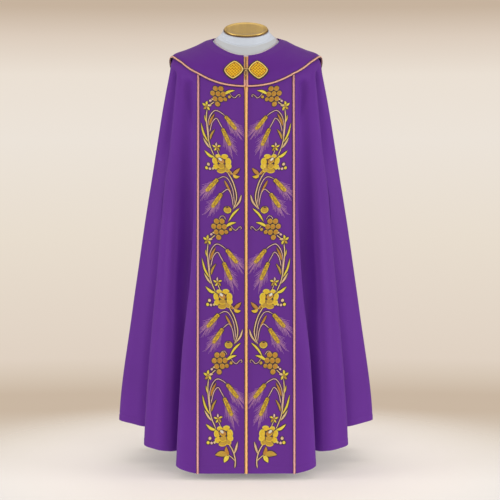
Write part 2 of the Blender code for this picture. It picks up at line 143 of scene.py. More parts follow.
def oval_at(table, position):
    """The oval at a position between a table's rows."""
    return Oval(*(reading(column, position) for column in zip(*table)))


def yoke_at(level):
    """The yoke's oval at a level between the neckline and the chest."""
    return oval_at(YOKE, min(level, 1.0) * (len(YOKE) - 1))


def oval_point(oval, turn):
    """Point of an oval at an angle from the centre front."""
    depth = oval.front_depth if turn < math.pi / 2 else oval.back_depth
    cosine = math.cos(turn)
    slope = (oval.front_z - oval.back_z) / 2
    crown = (oval.front_z + oval.back_z) / 2 - oval.side_z
    z = oval.side_z + slope * cosine + crown * cosine * cosine
    return Vector((oval.half_width * math.sin(turn), -depth * cosine, z))


def station_point(oval, station):
    """Point of an oval at a station."""
    if station <= 1:
        return oval_point(oval, math.asin(station * oval.seam_x / oval.half_width))
    seam = math.asin(oval.seam_x / oval.half_width)
    return oval_point(oval, seam + (math.pi - seam) * (station - 1))


CHEST = yoke_at(1.0)
HEM_FRONT_DEPTH = -FRONT_HEM_Y / math.sqrt(1 - (SEAM_X / HEM_HALF_WIDTH) ** 2)
HEM_OVAL = Oval(
    HEM_HALF_WIDTH, HEM_FRONT_DEPTH, HEM_BACK_DEPTH, FRONT_HEM_Z, HEM_SIDE_Z, HEM_BACK_Z, SEAM_X
)
HEM_SEAM_Z = station_point(HEM_OVAL, 1).z


def hem_outline(station):
    """The hem's smooth outline: straight across the bands, an oval round the rest."""
    if station <= 1:
        return Vector((station * SEAM_X, FRONT_HEM_Y, FRONT_HEM_Z))
    point = station_point(HEM_OVAL, station)
    point.z += (FRONT_HEM_Z - HEM_SEAM_Z) * max(0.0, 1 - (station - 1) * HEM_SETTLE)
    return point


def smooth_body(station, level):
    """The cloth's surface with no folds, on the wearer's left."""
    if level <= 1:
        return station_point(yoke_at(level), station)
    down = level - 1
    top = station_point(CHEST, station)
    hem = hem_outline(station)
    point = top.lerp(hem, 1 - (1 - down) ** SPREAD)
    point.z = top.z + (hem.z - top.z) * down
    return point


def roll_knots():
    """Knots of the hem's serpentine: place, share of the chest, and where the roll begins."""
    knots = []
    share_before = 0.0
    for roll, following in zip(ROLLS, ROLLS[1:] + [None]):
        knots.append((roll.face, (share_before + roll.share) / 2 if knots else 0.0, roll.begins))
        knots.append((roll.edge, roll.share, roll.begins))
        share_before = roll.share + ROOT_SHARE
        if following:
            root = Vector((*roll.root, (roll.edge.z + following.face.z) / 2 + ROOT_RISE))
            knots.append((root, share_before, (roll.begins + following.begins) / 2))
    return zip(*knots)


PLACES, SHARES, BEGINS = roll_knots()
LAST_KNOT = len(PLACES) - 1
HEM_KNOTS = [
    Vector((SEAM_X / 2, FRONT_HEM_Y, FRONT_HEM_Z)),
    *PLACES,
    Vector((-PLACES[-2].x, PLACES[-2].y, PLACES[-2].z)),
]


def chest_share(knot):
    """Share of the way from the side seam to the back that a knot takes up at the chest."""
    return clamped(reading(SHARES, knot))


def folded_body(knot, level):
    """The mantle's surface with its hanging rolls."""
    share = chest_share(knot)
    point = smooth_body(1 + share, level)
    seam_gap = SIDE_CORD * min(1.0, level / SEAM_FADE) + 2 * CLEARANCE
    point.x += seam_gap * max(0.0, 1 - share / SEAM_SHARE)
    if level <= 1:
        return point
    begins = reading(BEGINS, knot)
    growth = 1 - (1 - max(0.0, (level - 1 - begins) / (1 - begins))) ** ((1 + SPREAD) / 2)
    return point + (cubic(HEM_KNOTS, knot) - hem_outline(1 + share)) * growth


def lifted(station, level, lift):
    """A point moved out from the smooth surface along its normal."""
    across = smooth_body(min(station + SLOPE_STEP, 2.0), level)
    across -= smooth_body(max(station - SLOPE_STEP, 0.0), level)
    down = smooth_body(station, min(level + SLOPE_STEP, 2.0))
    down -= smooth_body(station, max(level - SLOPE_STEP, 0.0))
    return smooth_body(station, level) + down.cross(across).normalized() * lift


def level_at_height(station, height):
    """Level of the smooth surface where a station passes a height."""
    low, high = 0.0, 2.0
    for _ in range(HALVINGS):
        middle = (low + high) / 2
        if smooth_body(station, middle).z > height:
            low = middle
        else:
            high = middle
    return low


def collar_edge(station):
    """The collar's lower edge at a station: its height and its lift off the mantle."""
    stations, *columns = zip(*COLLAR_EDGE)
    position = float(np.interp(station, stations, range(len(stations))))
    return [cubic((column[1], *column, column[-2]), position) for column in columns]


def collar_column(station, drops):
    """Outer face of the collar at one station, from the neckline (0) to its edge (1)."""
    height, edge_lift = collar_edge(station)
    edge_level = level_at_height(station, height)
    lifts = [NECK_LIFT + (edge_lift - NECK_LIFT) * min(1.0, drop / LIFT_RUN) for drop in drops]
    return [lifted(station, edge_level * drop, COLLAR_CLOTH + lift) for drop, lift in zip(drops, lifts)]


def centre_cord_x(level):
    """Distance of a front edge's cord from the centre line: apart at the neck, lapped lower down."""
    apart = CENTRE_CORD + CLEARANCE
    return apart + (FRONT_LAP_X - apart) * clamped((level - LAP_FROM) / LAP_OVER)


def in_frame(points):
    """Points of the surface as an array, moved to where the form stands."""
    return np.array(points) + (0.0, FORM_Y, 0.0)


def on_side(points, side):
    """Points laid out on the wearer's left, as they are or mirrored to the right."""
    return points * (side, 1, 1)


# ---------------------------------------------------------------- folds laid one by one
CREASE_FADE = 0.3
CREASE_START_WIDTH = 0.55


def smooth_step(values):
    """0 to 1 with a soft start and end."""
    t = np.clip(values, 0.0, 1.0)
    return t * t * (3 - 2 * t)


def mound(distance, breadth):
    """A soft hump of height 1 over a distance from its middle."""
    return np.exp(-((distance / breadth) ** 2))


def edge_fade(places, reach):
    """0 at both edges of a panel and 1 further in than the reach."""
    places = np.array(places)
    return smooth_step(np.minimum(places, places[-1] - places) / reach)


def crease_field(columns, levels, creases):
    """Height of all creases over a panel's grid.

    A crease runs from one column and level to another, and its height and width follow. A height
    above 0 is a ridge, and below 0 a trough.
    """
    across, down = np.array(columns)[None, :], np.array(levels)[:, None]
    field = np.zeros((len(levels), len(columns)))
    for top_column, top_level, end_column, end_level, height, width in creases:
        run = (down - top_level) / (end_level - top_level)
        middle = top_column + (end_column - top_column) * run
        fade_out = 1.0 if end_level >= 2 else smooth_step((1 - run) / CREASE_FADE)
        strength = smooth_step(run / CREASE_FADE) * fade_out
        breadth = width * (CREASE_START_WIDTH + (1 - CREASE_START_WIDTH) * np.clip(run, 0, 1))
        field += height * strength * mound(across - middle, breadth)
    return field


def unit(vectors):
    """Vectors in the last axis of an array, made one long."""
    return vectors / np.linalg.norm(vectors, axis=-1, keepdims=True)


def outward_normals(points):
    """Unit normals of a grid of points whose rows run down and whose columns run round."""
    return unit(np.cross(np.gradient(points, axis=0), np.gradient(points, axis=1)))


def raised(points, heights, rounds=0):
    """A grid moved out by its heights; rounds of averaging keep its tight folds from crossing."""
    ways = outward_normals(points)
    for _ in range(rounds):
        near = np.pad(ways, ((1, 1), (1, 1), (0, 0)), mode="edge")
        ways = near[:-2, 1:-1] + near[2:, 1:-1] + near[1:-1, :-2] + near[1:-1, 2:] + 4 * ways
        ways = unit(ways)
    return points + ways * heights[:, :, None]


def arc_lengths(points):
    """Metres along the rows (u) and down the columns (v) of a grid of points."""
    across = np.linalg.norm(np.diff(points, axis=1), axis=2).cumsum(axis=1)
    down = np.linalg.norm(np.diff(points, axis=0), axis=2).cumsum(axis=0)
    return np.pad(across, ((0, 0), (1, 0))), np.pad(down, ((1, 0), (0, 0)))


# ---------------------------------------------------------------- making pieces
# Degrees past which the edges of a piece stay sharp
PANEL_CREASE = 50
CORD_CREASE = 70
FORM_CREASE = 40
# A way that no cord sets off in, from which its first ring is turned
ASKEW = (0.31, 0.87, 0.38)


def deselect():
    """Nothing selected and nothing active."""
    bpy.ops.object.select_all(action="DESELECT")
    bpy.context.view_layer.objects.active = None


def finish_piece(piece, finish, slot, *replaced, under=None):
    """A finished piece takes its material, rides on the one body and stands for its solids."""
    piece.data.materials.clear()
    for name in filter(None, (finish, under)):
        piece.data.materials.append(FINISHES[name])
    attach(piece, "root")
    if replaced:
        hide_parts(*replaced)
    return piece


def add_piece(name, mesh, finish, slot, *replaced):
    """A mesh as a finished piece of the scene."""
    mesh.name = name
    piece = bpy.data.objects.new(name, mesh)
    bpy.context.scene.collection.objects.link(piece)
    return finish_piece(piece, finish, slot, *replaced)


def smoothed(mesh, angle):
    """A mesh shaded smooth but for its edges sharper than an angle."""
    mesh.shade_smooth()
    mesh.set_sharp_from_angle(angle=math.radians(angle))
    return mesh


def panel(name, points, thickness, side, wall_weights=None, even=True):
    """A panel of cloth on one side: a grid primitive laid on the points, then thickened inwards."""
    rows, columns, _ = points.shape
    deselect()
    bpy.ops.mesh.primitive_grid_add(x_subdivisions=columns - 1, y_subdivisions=rows - 1, size=1)
    piece = bpy.context.object
    piece.name = piece.data.name = name
    mesh = piece.data
    mesh.vertices.foreach_set("co", points.reshape(-1).astype(np.float32))
    corner = np.empty(len(mesh.loops), np.int32)
    mesh.loops.foreach_get("vertex_index", corner)
    uv = np.stack(arc_lengths(points), axis=2).reshape(-1, 2)[corner]
    mesh.uv_layers[0].data.foreach_set("uv", uv.reshape(-1).astype(np.float32))
    if side > 0:
        mesh.flip_normals()
    mesh.update()
    wall = piece.modifiers.new("wall", "SOLIDIFY")
    wall.thickness = thickness
    wall.offset = -1
    wall.use_even_offset = even
    # an uneven wall gives its inner faces the piece's second finish, which on the mantle paints the
    # underside's shade
    wall.material_offset = 0 if even else 1
    wall.use_quality_normals = True
    if wall_weights is not None:
        group = piece.vertex_groups.new(name="wall")
        for index, weight in enumerate(wall_weights.reshape(-1)):
            group.add([index], float(weight), "REPLACE")
        wall.vertex_group = group.name
    bpy.ops.object.modifier_apply(modifier=wall.name)
    smoothed(piece.data, PANEL_CREASE)
    return piece


def quads(grid):
    """The four corners of every cell of a grid."""
    return np.stack([grid[:-1, :-1], grid[1:, :-1], grid[1:, 1:], grid[:-1, 1:]], axis=2)


def mesh_of(points, faces, uv):
    """A mesh of points and faces, with a UV for every corner in turn."""
    mesh = bpy.data.meshes.new("shape")
    mesh.from_pydata(points.tolist(), [], faces)
    layer = mesh.uv_layers.new(name="UVMap")
    layer.data.foreach_set("uv", uv.ravel().astype(np.float32))
    mesh.shade_smooth()
    return mesh


def skin(rings, uv, ends=(0, -1), angle=FORM_CREASE):
    """Skin over rings of points with the named ends capped, its faces outwards.

    The UV grid has a column more than the rings, and a row more where the last ring is joined to
    the first one.
    """
    count, sides, _ = rings.shape
    index = np.arange(count * sides).reshape(count, sides)
    index = np.pad(index, ((0, len(uv) - count), (0, 1)), mode="wrap")
    faces = quads(index).reshape(-1, 4).tolist() + [index[end, :-1].tolist() for end in ends]
    corners = [quads(uv).reshape(-1, 2), *(uv[end, :-1] for end in ends)]
    mesh = mesh_of(rings.reshape(-1, 3), faces, np.concatenate(corners))
    turned = bmesh.new()
    turned.from_mesh(mesh)
    bmesh.ops.recalc_face_normals(turned, faces=turned.faces)
    turned.to_mesh(mesh)
    turned.free()
    return smoothed(mesh, angle)


def cord(path, radius, sides, spacing, lobes=0, relief=0.0, pitch=0.02, closed=False):
    """A round cord along a path; lobes that turn once in each pitch give it a twist."""
    path = np.array([*path, path[0]] if closed else path)
    lengths = np.concatenate([[0], np.linalg.norm(np.diff(path, axis=0), axis=1).cumsum()])
    along = np.linspace(0, lengths[-1], max(4, int(round(lengths[-1] / spacing)) + 1))
    line = np.stack([np.interp(along, lengths, path[:, axis]) for axis in range(3)], axis=1)
    if closed:
        line = line[:-1]
        tangents = unit(np.roll(line, -1, axis=0) - np.roll(line, 1, axis=0))
    else:
        tangents = unit(np.gradient(line, axis=0))
    turns = np.arange(sides + 1) * 2 * math.pi / sides
    phase = lobes * turns[:-1] + 2 * math.pi * along[: len(line), None] / pitch
    reach = radius * (1 - relief + relief * np.cos(phase))
    cosine, sine = np.cos(turns[:-1, None]), np.sin(turns[:-1, None])
    normal = np.cross(tangents[0], ASKEW)
    rings = np.empty((len(line), sides, 3))
    for index, tangent in enumerate(tangents):
        normal = unit(normal - tangent * normal.dot(tangent))
        ring = cosine * normal + sine * np.cross(tangent, normal)
        rings[index] = line[index] + ring * reach[index, :, None]
    uv = np.stack(np.meshgrid(turns * radius, along), axis=2)
    return skin(rings, uv, () if closed else (0, -1), CORD_CREASE)


# ---------------------------------------------------------------- finishes
WEAVE_DEPTH = 0.0003
THREAD_DEPTH = 0.0004
BRUSH_DEPTH = 0.0002


def feed(tree, node, inputs):
    """Each named input takes another node's output, a number, a vector or a colour."""
    for key, value in inputs.items():
        if isinstance(value, bpy.types.NodeSocket):
            tree.links.new(value, node.inputs[key])
        else:
            node.inputs[key].default_value = value
    return node


def add_node(tree, kind, inputs=(), **settings):
    """A node with its settings and inputs."""
    made = tree.nodes.new(f"ShaderNode{kind}")
    for key, value in settings.items():
        setattr(made, key, value)
    return feed(tree, made, dict(inputs))


def math_node(tree, operation, first, second=0.0):
    """A sum of two outputs or numbers."""
    return add_node(tree, "Math", {0: first, 1: second}, operation=operation).outputs[0]


def noise(tree, vector, scale, detail, roughness):
    """Soft noise from 0 to 1 over a vector."""
    inputs = {"Vector": vector, "Scale": scale, "Detail": detail, "Roughness": roughness}
    return add_node(tree, "TexNoise", inputs).outputs["Fac"]


def effect(name, values, *outputs):
    """An empty shader group that takes a vector and its own values and gives out numbers."""
    group = bpy.data.node_groups.new(name, "ShaderNodeTree")
    new_socket = group.interface.new_socket
    new_socket("Vector", in_out="INPUT", socket_type="NodeSocketVector")
    for socket, value in values.items():
        kind = "NodeSocketVector" if isinstance(value, tuple) else "NodeSocketFloat"
        new_socket(socket, in_out="INPUT", socket_type=kind).default_value = value
    for socket in outputs:
        new_socket(socket, in_out="OUTPUT", socket_type="NodeSocketFloat")
    given = group.nodes.new("NodeGroupInput").outputs
    return group, given, group.nodes.new("NodeGroupOutput")


def weave_group():
    """Plain weave with uneven yarns: its height, and a shade of each yarn's colour."""
    group, given, leave = effect(
        "plain_weave", {"Yarns per metre": 1600.0, "Slub": 0.5}, "Height", "Shade"
    )
    parts = add_node(group, "SeparateXYZ", {0: given["Vector"]}).outputs
    turns = [math_node(group, "MULTIPLY", parts[axis], given["Yarns per metre"]) for axis in "XY"]
    waves = [math_node(group, "SINE", math_node(group, "MULTIPLY", turn, math.pi)) for turn in turns]
    stretch = add_node(group, "Mapping", {"Vector": given["Vector"], "Scale": (420.0, 26.0, 1.0)})
    uneven = math_node(group, "MULTIPLY", noise(group, stretch.outputs[0], 1.0, 3.0, 0.6), given["Slub"])
    cross = math_node(group, "MULTIPLY", math_node(group, "MULTIPLY", *waves), 0.35)
    feed(group, leave, {"Height": math_node(group, "ADD", cross, uneven), "Shade": uneven})
    return group


def mottle_group():
    """Slow drift of colour over a surface, from 0 to 1 about a half."""
    group, given, leave = effect("slow_mottle", {"Patches per metre": 6.0}, "Mask")
    feed(group, leave, {"Mask": noise(group, given["Vector"], given["Patches per metre"], 4.0, 0.55)})
    return group


def thread_group():
    """Parallel threads side by side: their height and shade, with a slow unevenness. The shade follows the
    height: darker in the grooves between threads (painted shade), lighter on their crests (painted
    highlight).
    """
    group, given, leave = effect(
        "laid_thread", {"Threads per metre": 1400.0, "Slant": 0.0, "Wobble": 0.5}, "Height", "Shade"
    )
    parts = add_node(group, "SeparateXYZ", {0: given["Vector"]}).outputs
    along = math_node(group, "ADD", parts["Y"], math_node(group, "MULTIPLY", parts["X"], given["Slant"]))
    drift = math_node(group, "MULTIPLY", noise(group, given["Vector"], 300.0, 2.0, 0.5), given["Wobble"])
    threads = math_node(group, "MULTIPLY", along, given["Threads per metre"])
    turn = math_node(group, "MULTIPLY", threads, 2 * math.pi)
    turn = math_node(group, "ADD", turn, math_node(group, "MULTIPLY", drift, 6.0))
    wave = math_node(group, "MULTIPLY", math_node(group, "SINE", turn), 0.5)
    height = math_node(group, "ADD", wave, 0.5)
    # the shade follows the height: painted shade in the grooves, painted highlight on the crests, plus
    # random drift
    shade = math_node(group, "ADD", math_node(group, "MULTIPLY", height, 0.6), drift)
    feed(group, leave, {"Height": height, "Shade": shade})
    return group


def brushed_group():
    """Fine brushing of metal, stretched along one way."""
    group, given, leave = effect("brushed_metal", {"Stretch": (900.0, 12.0, 900.0)}, "Mask")
    stretch = {0: given["Vector"], 1: given["Stretch"]}
    stretched = add_node(group, "VectorMath", stretch, operation="MULTIPLY").outputs[0]
    feed(group, leave, {"Mask": noise(group, stretched, 1.0, 4.0, 0.6)})
    return group


WEAVE = weave_group()
MOTTLE = mottle_group()
THREAD = thread_group()
BRUSHED = brushed_group()


def new_material(name):
    """A material with its tree, its shader and the coordinates that it may read."""
    made = bpy.data.materials.new(name)
    made.use_nodes = True
    tree = made.node_tree
    return made, tree, tree.nodes["Principled BSDF"], add_node(tree, "TexCoord").outputs


def placed_effect(tree, group, vector, values):
    """A shared effect put in a material with its own values."""
    return add_node(tree, "Group", {"Vector": vector, **values}, node_tree=group).outputs


def colour_ramp(tree, mask, stops):
    """Colours over a mask, each at its place from 0 to 1."""
    ramp = add_node(tree, "ValToRGB", {"Fac": mask})
    elements = ramp.color_ramp.elements
    while len(elements) < len(stops):
        elements.new(0.5)
    for element, (place, colour) in zip(elements, stops):
        element.position = place
        element.color = (*colour, 1)
    return ramp.outputs["Color"]


def bump(tree, height, distance, strength):
    """Relief too fine for the mesh."""
    inputs = {"Strength": strength, "Distance": distance, "Height": height}
    return add_node(tree, "Bump", inputs).outputs["Normal"]


def shaded(colour, factor):
    """A colour made lighter or darker."""
    return tuple(min(1.0, channel * factor) for channel in colour)


def cloth_finish(name, colour, roughness, sheen):
    """Smooth dyed cloth with a faint weave, slow drift of its dye and a soft nap."""
    made, tree, shader, places = new_material(name)
    weave = placed_effect(tree, WEAVE, places["UV"], {"Yarns per metre": 1700.0, "Slub": 0.5})
    drift = placed_effect(tree, MOTTLE, places["Object"], {"Patches per metre": 5.0})
    dye = colour_ramp(tree, drift["Mask"], ((0.3, shaded(colour, 0.94)), (0.7, shaded(colour, 1.06))))
    light = (*shaded(colour, 1.12), 1)
    mix = add_node(tree, "Mix", data_type="RGBA")
    feed(tree, mix, {0: weave["Shade"], 6: dye, 7: light})
    feed(tree, shader, {
        "Base Color": mix.outputs[2],
        "Roughness": roughness,
        "Specular IOR Level": 0.18,
        "Sheen Weight": sheen,
        "Sheen Roughness": 0.45,
        "Sheen Tint": (0.75, 0.55, 0.95, 1),
        "Normal": bump(tree, weave["Height"], WEAVE_DEPTH, 0.35),
    })
    return made


def thread_finish(name, light, dark, threads, slant, roughness, metallic=0.0):
    """Lustrous laid or wound thread in two shades: the dark one fills the grooves between threads as
    painted shade, the light one their crests as painted highlight, with a slow random unevenness.
    """
    made, tree, shader, places = new_material(name)
    values = {"Threads per metre": threads, "Slant": slant, "Wobble": 0.5}
    thread = placed_effect(tree, THREAD, places["UV"], values)
    feed(tree, shader, {
        "Base Color": colour_ramp(tree, thread["Shade"], ((0.15, dark), (0.75, light))),
        "Roughness": roughness,
        "Metallic": metallic,
        "Sheen Weight": 0.15,
        "Normal": bump(tree, thread["Height"], THREAD_DEPTH, 0.6),
    })
    return made


def metal_finish(name, light, dark, roughness, stretch, metallic=1.0):
    """Brushed metal or enamel, slightly uneven in colour and polish."""
    made, tree, shader, places = new_material(name)
    mask = placed_effect(tree, BRUSHED, places["Object"], {"Stretch": stretch})["Mask"]
    smooth, dull = (roughness * 0.8,) * 3, (roughness * 1.25,) * 3
    feed(tree, shader, {
        "Base Color": colour_ramp(tree, mask, ((0.3, dark), (0.7, light))),
        "Roughness": colour_ramp(tree, mask, ((0.2, smooth), (0.8, dull))),
        "Metallic": metallic,
        "Normal": bump(tree, mask, BRUSH_DEPTH, 0.3),
    })
    return made


FINISH_ROWS = {
    cloth_finish: (
        ("mantle_cloth", (0.106, 0.0185, 0.246), 0.66, 0.08),
        ("band_cloth", (0.108, 0.0215, 0.242), 0.66, 0.05),
        ("collar_cloth", (0.099, 0.0165, 0.232), 0.66, 0.05),
        # darker copy of the mantle cloth for its inner faces: painted shade of the underside, the same
        # cloth in shadow
        ("cloth_underside", (0.070, 0.013, 0.155), 0.75, 0.05),
        ("form_jersey", (0.54, 0.60, 0.685), 0.85, 0.1),
        ("form_grey_jersey", (0.47, 0.505, 0.535), 0.85, 0.1),
        ("form_neck_binding", (0.74, 0.62, 0.66), 0.8, 0.1),
    ),
    thread_finish: (
        ("side_piping_satin", (0.82, 0.42, 0.41), (0.54, 0.20, 0.20), 900.0, 1.2, 0.42),
        ("centre_piping_satin", (1.00, 0.58, 0.21), (0.70, 0.31, 0.08), 900.0, 1.2, 0.40),
        ("collar_piping_satin", (0.86, 0.47, 0.35), (0.62, 0.26, 0.18), 900.0, 1.2, 0.42),
        # thin dark cords beside the pipings: a couched gimp whose colour also paints the seams' shade
        ("dark_edge_gimp", (0.055, 0.009, 0.022), (0.026, 0.004, 0.016), 1500.0, 0.8, 0.60),
        # dark cord round each clasp: painted shadow of the mount on the collar
        ("clasp_plum_edge", (0.040, 0.006, 0.030), (0.020, 0.003, 0.016), 1500.0, 0.8, 0.75),
        ("clasp_gold_ground", (0.50, 0.22, 0.004), (0.32, 0.12, 0.003), 1000.0, 0.6, 0.50, 0.3),
        ("clasp_gold_work", (1.00, 0.70, 0.012), (0.88, 0.50, 0.006), 1000.0, 0.6, 0.40, 0.4),
        ("clasp_gold_edge", (1.00, 0.83, 0.24), (0.92, 0.60, 0.09), 1300.0, 1.4, 0.36),
        ("yellow_thread", (0.86, 0.72, 0.055), (0.55, 0.41, 0.012), 1400.0, 0.7, 0.42),
        ("gold_thread", (0.80, 0.55, 0.012), (0.50, 0.31, 0.005), 1400.0, 0.7, 0.42),
        ("ochre_thread", (0.55, 0.34, 0.020), (0.33, 0.175, 0.008), 1400.0, 0.7, 0.45),
        ("amber_thread", (0.54, 0.255, 0.007), (0.32, 0.12, 0.003), 1400.0, 0.7, 0.45),
        ("stem_thread", (0.84, 0.62, 0.34), (0.52, 0.31, 0.14), 1300.0, 0.9, 0.48),
        ("rosy_thread", (0.84, 0.56, 0.50), (0.50, 0.27, 0.27), 1300.0, 0.9, 0.48),
        # pale silver patch on the rose's heart: painted highlight
        ("silver_thread", (0.78, 0.76, 0.62), (0.50, 0.48, 0.36), 1400.0, 0.7, 0.38),
        ("awn_thread", (0.50, 0.25, 0.44), (0.28, 0.11, 0.29), 1600.0, 0.5, 0.60),
        # dark plum strips round the embroidered shapes: painted shade
        ("plum_thread", (0.040, 0.006, 0.040), (0.018, 0.003, 0.022), 1600.0, 0.5, 0.70),
    ),
    metal_finish: (
        ("hook_metal", (0.80, 0.62, 0.30), (0.62, 0.44, 0.18), 0.28, (60.0, 60.0, 60.0)),
        ("form_cap_brass", (0.54, 0.385, 0.118), (0.42, 0.28, 0.080), 0.40, (500.0, 3.0, 3.0)),
        ("form_stand_enamel", (0.74, 0.71, 0.66), (0.70, 0.67, 0.62), 0.42, (9.0, 9.0, 9.0), 0.0),
        # dark cord round the foot of the neck cap: painted shadow line
        ("form_cap_seal", (0.20, 0.11, 0.04), (0.12, 0.06, 0.02), 0.5, (90.0, 90.0, 90.0), 0.3),
    ),
}
FINISHES = {row[0]: maker(*row) for maker, rows in FINISH_ROWS.items() for row in rows}

# ---------------------------------------------------------------- the mantle
HEM_TURN = 0.022
HEM_THICK = 0.0029
HEM_FULLNESS = 0.0005
HEM_RISE = 0.004
WALL_RISE = 0.002
STITCH_DEPTH = 0.0007
STITCH_WIDTH = 0.0022

# Folds of the two halves, uneven from side to side: columns are knots of the rolls
ROLL_CREASES = {
    1: (
        (1.95, 1.45, 1.95, 2.00, 0.0190, 0.34),
        (2.60, 1.40, 2.62, 2.00, -0.0040, 0.40),
        (5.00, 1.12, 5.00, 2.00, 0.0150, 0.36),
        (3.00, 1.30, 3.02, 2.00, -0.0022, 0.14),
        (3.28, 1.20, 3.28, 2.00, 0.0026, 0.16),
        (3.55, 1.30, 3.58, 2.00, -0.0026, 0.16),
        (5.60, 1.00, 5.50, 1.90, 0.0030, 0.40),
        (6.30, 1.10, 6.50, 2.00, -0.0032, 0.30),
        (7.05, 1.05, 7.05, 1.96, -0.0066, 0.60),
        (9.20, 1.05, 9.30, 2.00, 0.0050, 0.50),
        (10.4, 1.00, 10.1, 2.00, -0.0045, 0.40),
        (12.3, 1.10, 12.2, 2.00, 0.0055, 0.45),
        (13.4, 1.15, 13.3, 1.90, -0.0045, 0.40),
        (15.0, 1.20, 15.2, 2.00, 0.0045, 0.40),
    ),
    -1: (
        (1.95, 1.44, 1.95, 2.00, 0.0185, 0.34),
        (2.58, 1.40, 2.64, 2.00, -0.0042, 0.40),
        (5.02, 1.14, 5.00, 2.00, 0.0145, 0.36),
        (3.04, 1.25, 3.00, 2.00, -0.0024, 0.15),
        (3.30, 1.22, 3.26, 2.00, 0.0024, 0.16),
        (3.58, 1.26, 3.54, 2.00, -0.0028, 0.15),
        (5.55, 1.02, 5.60, 1.85, 0.0032, 0.38),
        (6.38, 1.08, 6.32, 2.00, -0.0030, 0.32),
        (7.02, 1.06, 7.10, 1.95, -0.0064, 0.60),
        (9.40, 1.00, 9.10, 2.00, 0.0058, 0.46),
        (10.2, 1.05, 10.4, 2.00, -0.0040, 0.44),
        (12.1, 1.20, 12.4, 2.00, 0.0050, 0.42),
        (13.6, 1.10, 13.2, 2.00, -0.0050, 0.42),
        (14.9, 1.15, 15.0, 2.00, 0.0040, 0.38),
    ),
}
# Folds that start under the collar: columns are shares of the way from side seam to back
SHOULDER_CREASES = {
    1: (
        (0.066, 0.84, 0.052, 1.74, -0.0250, 0.056),
        (0.178, 0.78, 0.168, 1.50, 0.0055, 0.045),
        (0.246, 0.80, 0.222, 1.32, -0.0205, 0.052),
        (0.330, 0.86, 0.320, 1.60, 0.0030, 0.050),
        (0.520, 0.82, 0.480, 1.55, -0.0060, 0.060),
        (0.700, 0.86, 0.720, 1.60, -0.0050, 0.060),
    ),
    -1: (
        (0.064, 0.85, 0.053, 1.72, -0.0245, 0.056),
        (0.176, 0.79, 0.170, 1.52, 0.0053, 0.046),
        (0.244, 0.81, 0.224, 1.31, -0.0200, 0.054),
        (0.335, 0.85, 0.315, 1.58, 0.0032, 0.050),
        (0.500, 0.84, 0.500, 1.50, -0.0055, 0.060),
        (0.730, 0.84, 0.700, 1.62, -0.0052, 0.058),
    ),
}
BAND_CREASES = {
    1: (
        (0.30, 1.10, 0.36, 1.60, 0.0010, 0.20),
        (0.72, 1.45, 0.66, 2.00, -0.0012, 0.18),
        (0.20, 1.70, 0.25, 2.00, 0.0008, 0.15),
    ),
    -1: (
        (0.68, 1.05, 0.62, 1.55, 0.0010, 0.20),
        (0.30, 1.40, 0.35, 2.00, -0.0012, 0.18),
        (0.80, 1.65, 0.76, 2.00, 0.0009, 0.15),
    ),
}

MANTLE_STEPS = 10
BAND_COLUMNS = 26
YOKE_ROWS = 26
SKIRT_ROWS = 92
HEM_ROWS = 9
SKIRT_LENGTH = 1.27
HEM_SPARE = 1.3
HEM_LEVELS = HEM_TURN * HEM_SPARE / SKIRT_LENGTH
MANTLE_SMOOTHING = 24
MANTLE_EDGE = 0.6
BAND_EDGE = 0.12

# Levels of the rows, closer together over the turned-up hem
LEVELS = [row / YOKE_ROWS for row in range(YOKE_ROWS)]
LEVELS += [1 + (1 - HEM_LEVELS) * row / SKIRT_ROWS for row in range(SKIRT_ROWS)]
LEVELS += [2 - HEM_LEVELS + HEM_LEVELS * row / HEM_ROWS for row in range(HEM_ROWS + 1)]
KNOTS = [step / MANTLE_STEPS for step in range(LAST_KNOT * MANTLE_STEPS + 1)]
MANTLE_POINTS = in_frame([[folded_body(knot, level) for knot in KNOTS] for level in LEVELS])


def hem_profile(points):
    """Outward relief and share of the wall near the hem: a line of stitches, then a fuller fold."""
    _, v = arc_lengths(points)
    below = HEM_TURN - (v[-1:, :] - v)
    relief = HEM_FULLNESS * smooth_step(below / HEM_RISE) - STITCH_DEPTH * mound(below, STITCH_WIDTH)
    return relief, (CLOTH + (HEM_THICK - CLOTH) * smooth_step(below / WALL_RISE)) / HEM_THICK


def mantle_half(side):
    """One half of the mantle, from the side seam to the centre back."""
    relief, wall = hem_profile(MANTLE_POINTS)
    shares = [chest_share(knot) for knot in KNOTS]
    field = crease_field(KNOTS, LEVELS, ROLL_CREASES[side])
    field += crease_field(shares, LEVELS, SHOULDER_CREASES[side])
    points = raised(MANTLE_POINTS, field * edge_fade(KNOTS, MANTLE_EDGE) + relief, MANTLE_SMOOTHING)
    points[:, -1, 0] = CLEARANCE / 2
    name = SIDES[side]
    piece = panel(f"cope_mantle_{name}", on_side(points, side), HEM_THICK, side, wall, False)
    for vertex in piece.data.vertices:
        vertex.co.x = side * max(side * vertex.co.x, CLEARANCE / 2)
    # the inner faces take the darker underside finish: painted shade
    return finish_piece(piece, "mantle_cloth", "mantle_cloth", f"mantle_{name}", under="cloth_underside")


def front_band(side):
    """One front band between the centre and side cords, and its face laid on the left side."""
    shares = np.linspace(0, 1, BAND_COLUMNS + 1)
    rows = []
    for level in LEVELS:
        seam_x = yoke_at(level).seam_x
        inner = centre_cord_x(level) + CENTRE_CORD + 3 * CLEARANCE
        places = inner + (seam_x - SIDE_CORD - CLEARANCE - inner) * shares
        rows.append([smooth_body(place / seam_x, level) for place in places])
    points = in_frame(rows)
    relief, wall = hem_profile(points)
    field = crease_field(shares, LEVELS, BAND_CREASES[side]) * edge_fade(shares, BAND_EDGE)
    points = raised(points, field + relief)
    name = SIDES[side]
    piece = panel(f"cope_front_band_{name}", on_side(points, side), HEM_THICK, side, wall)
    return finish_piece(piece, "band_cloth", "band_cloth", f"front_band_{name}"), points


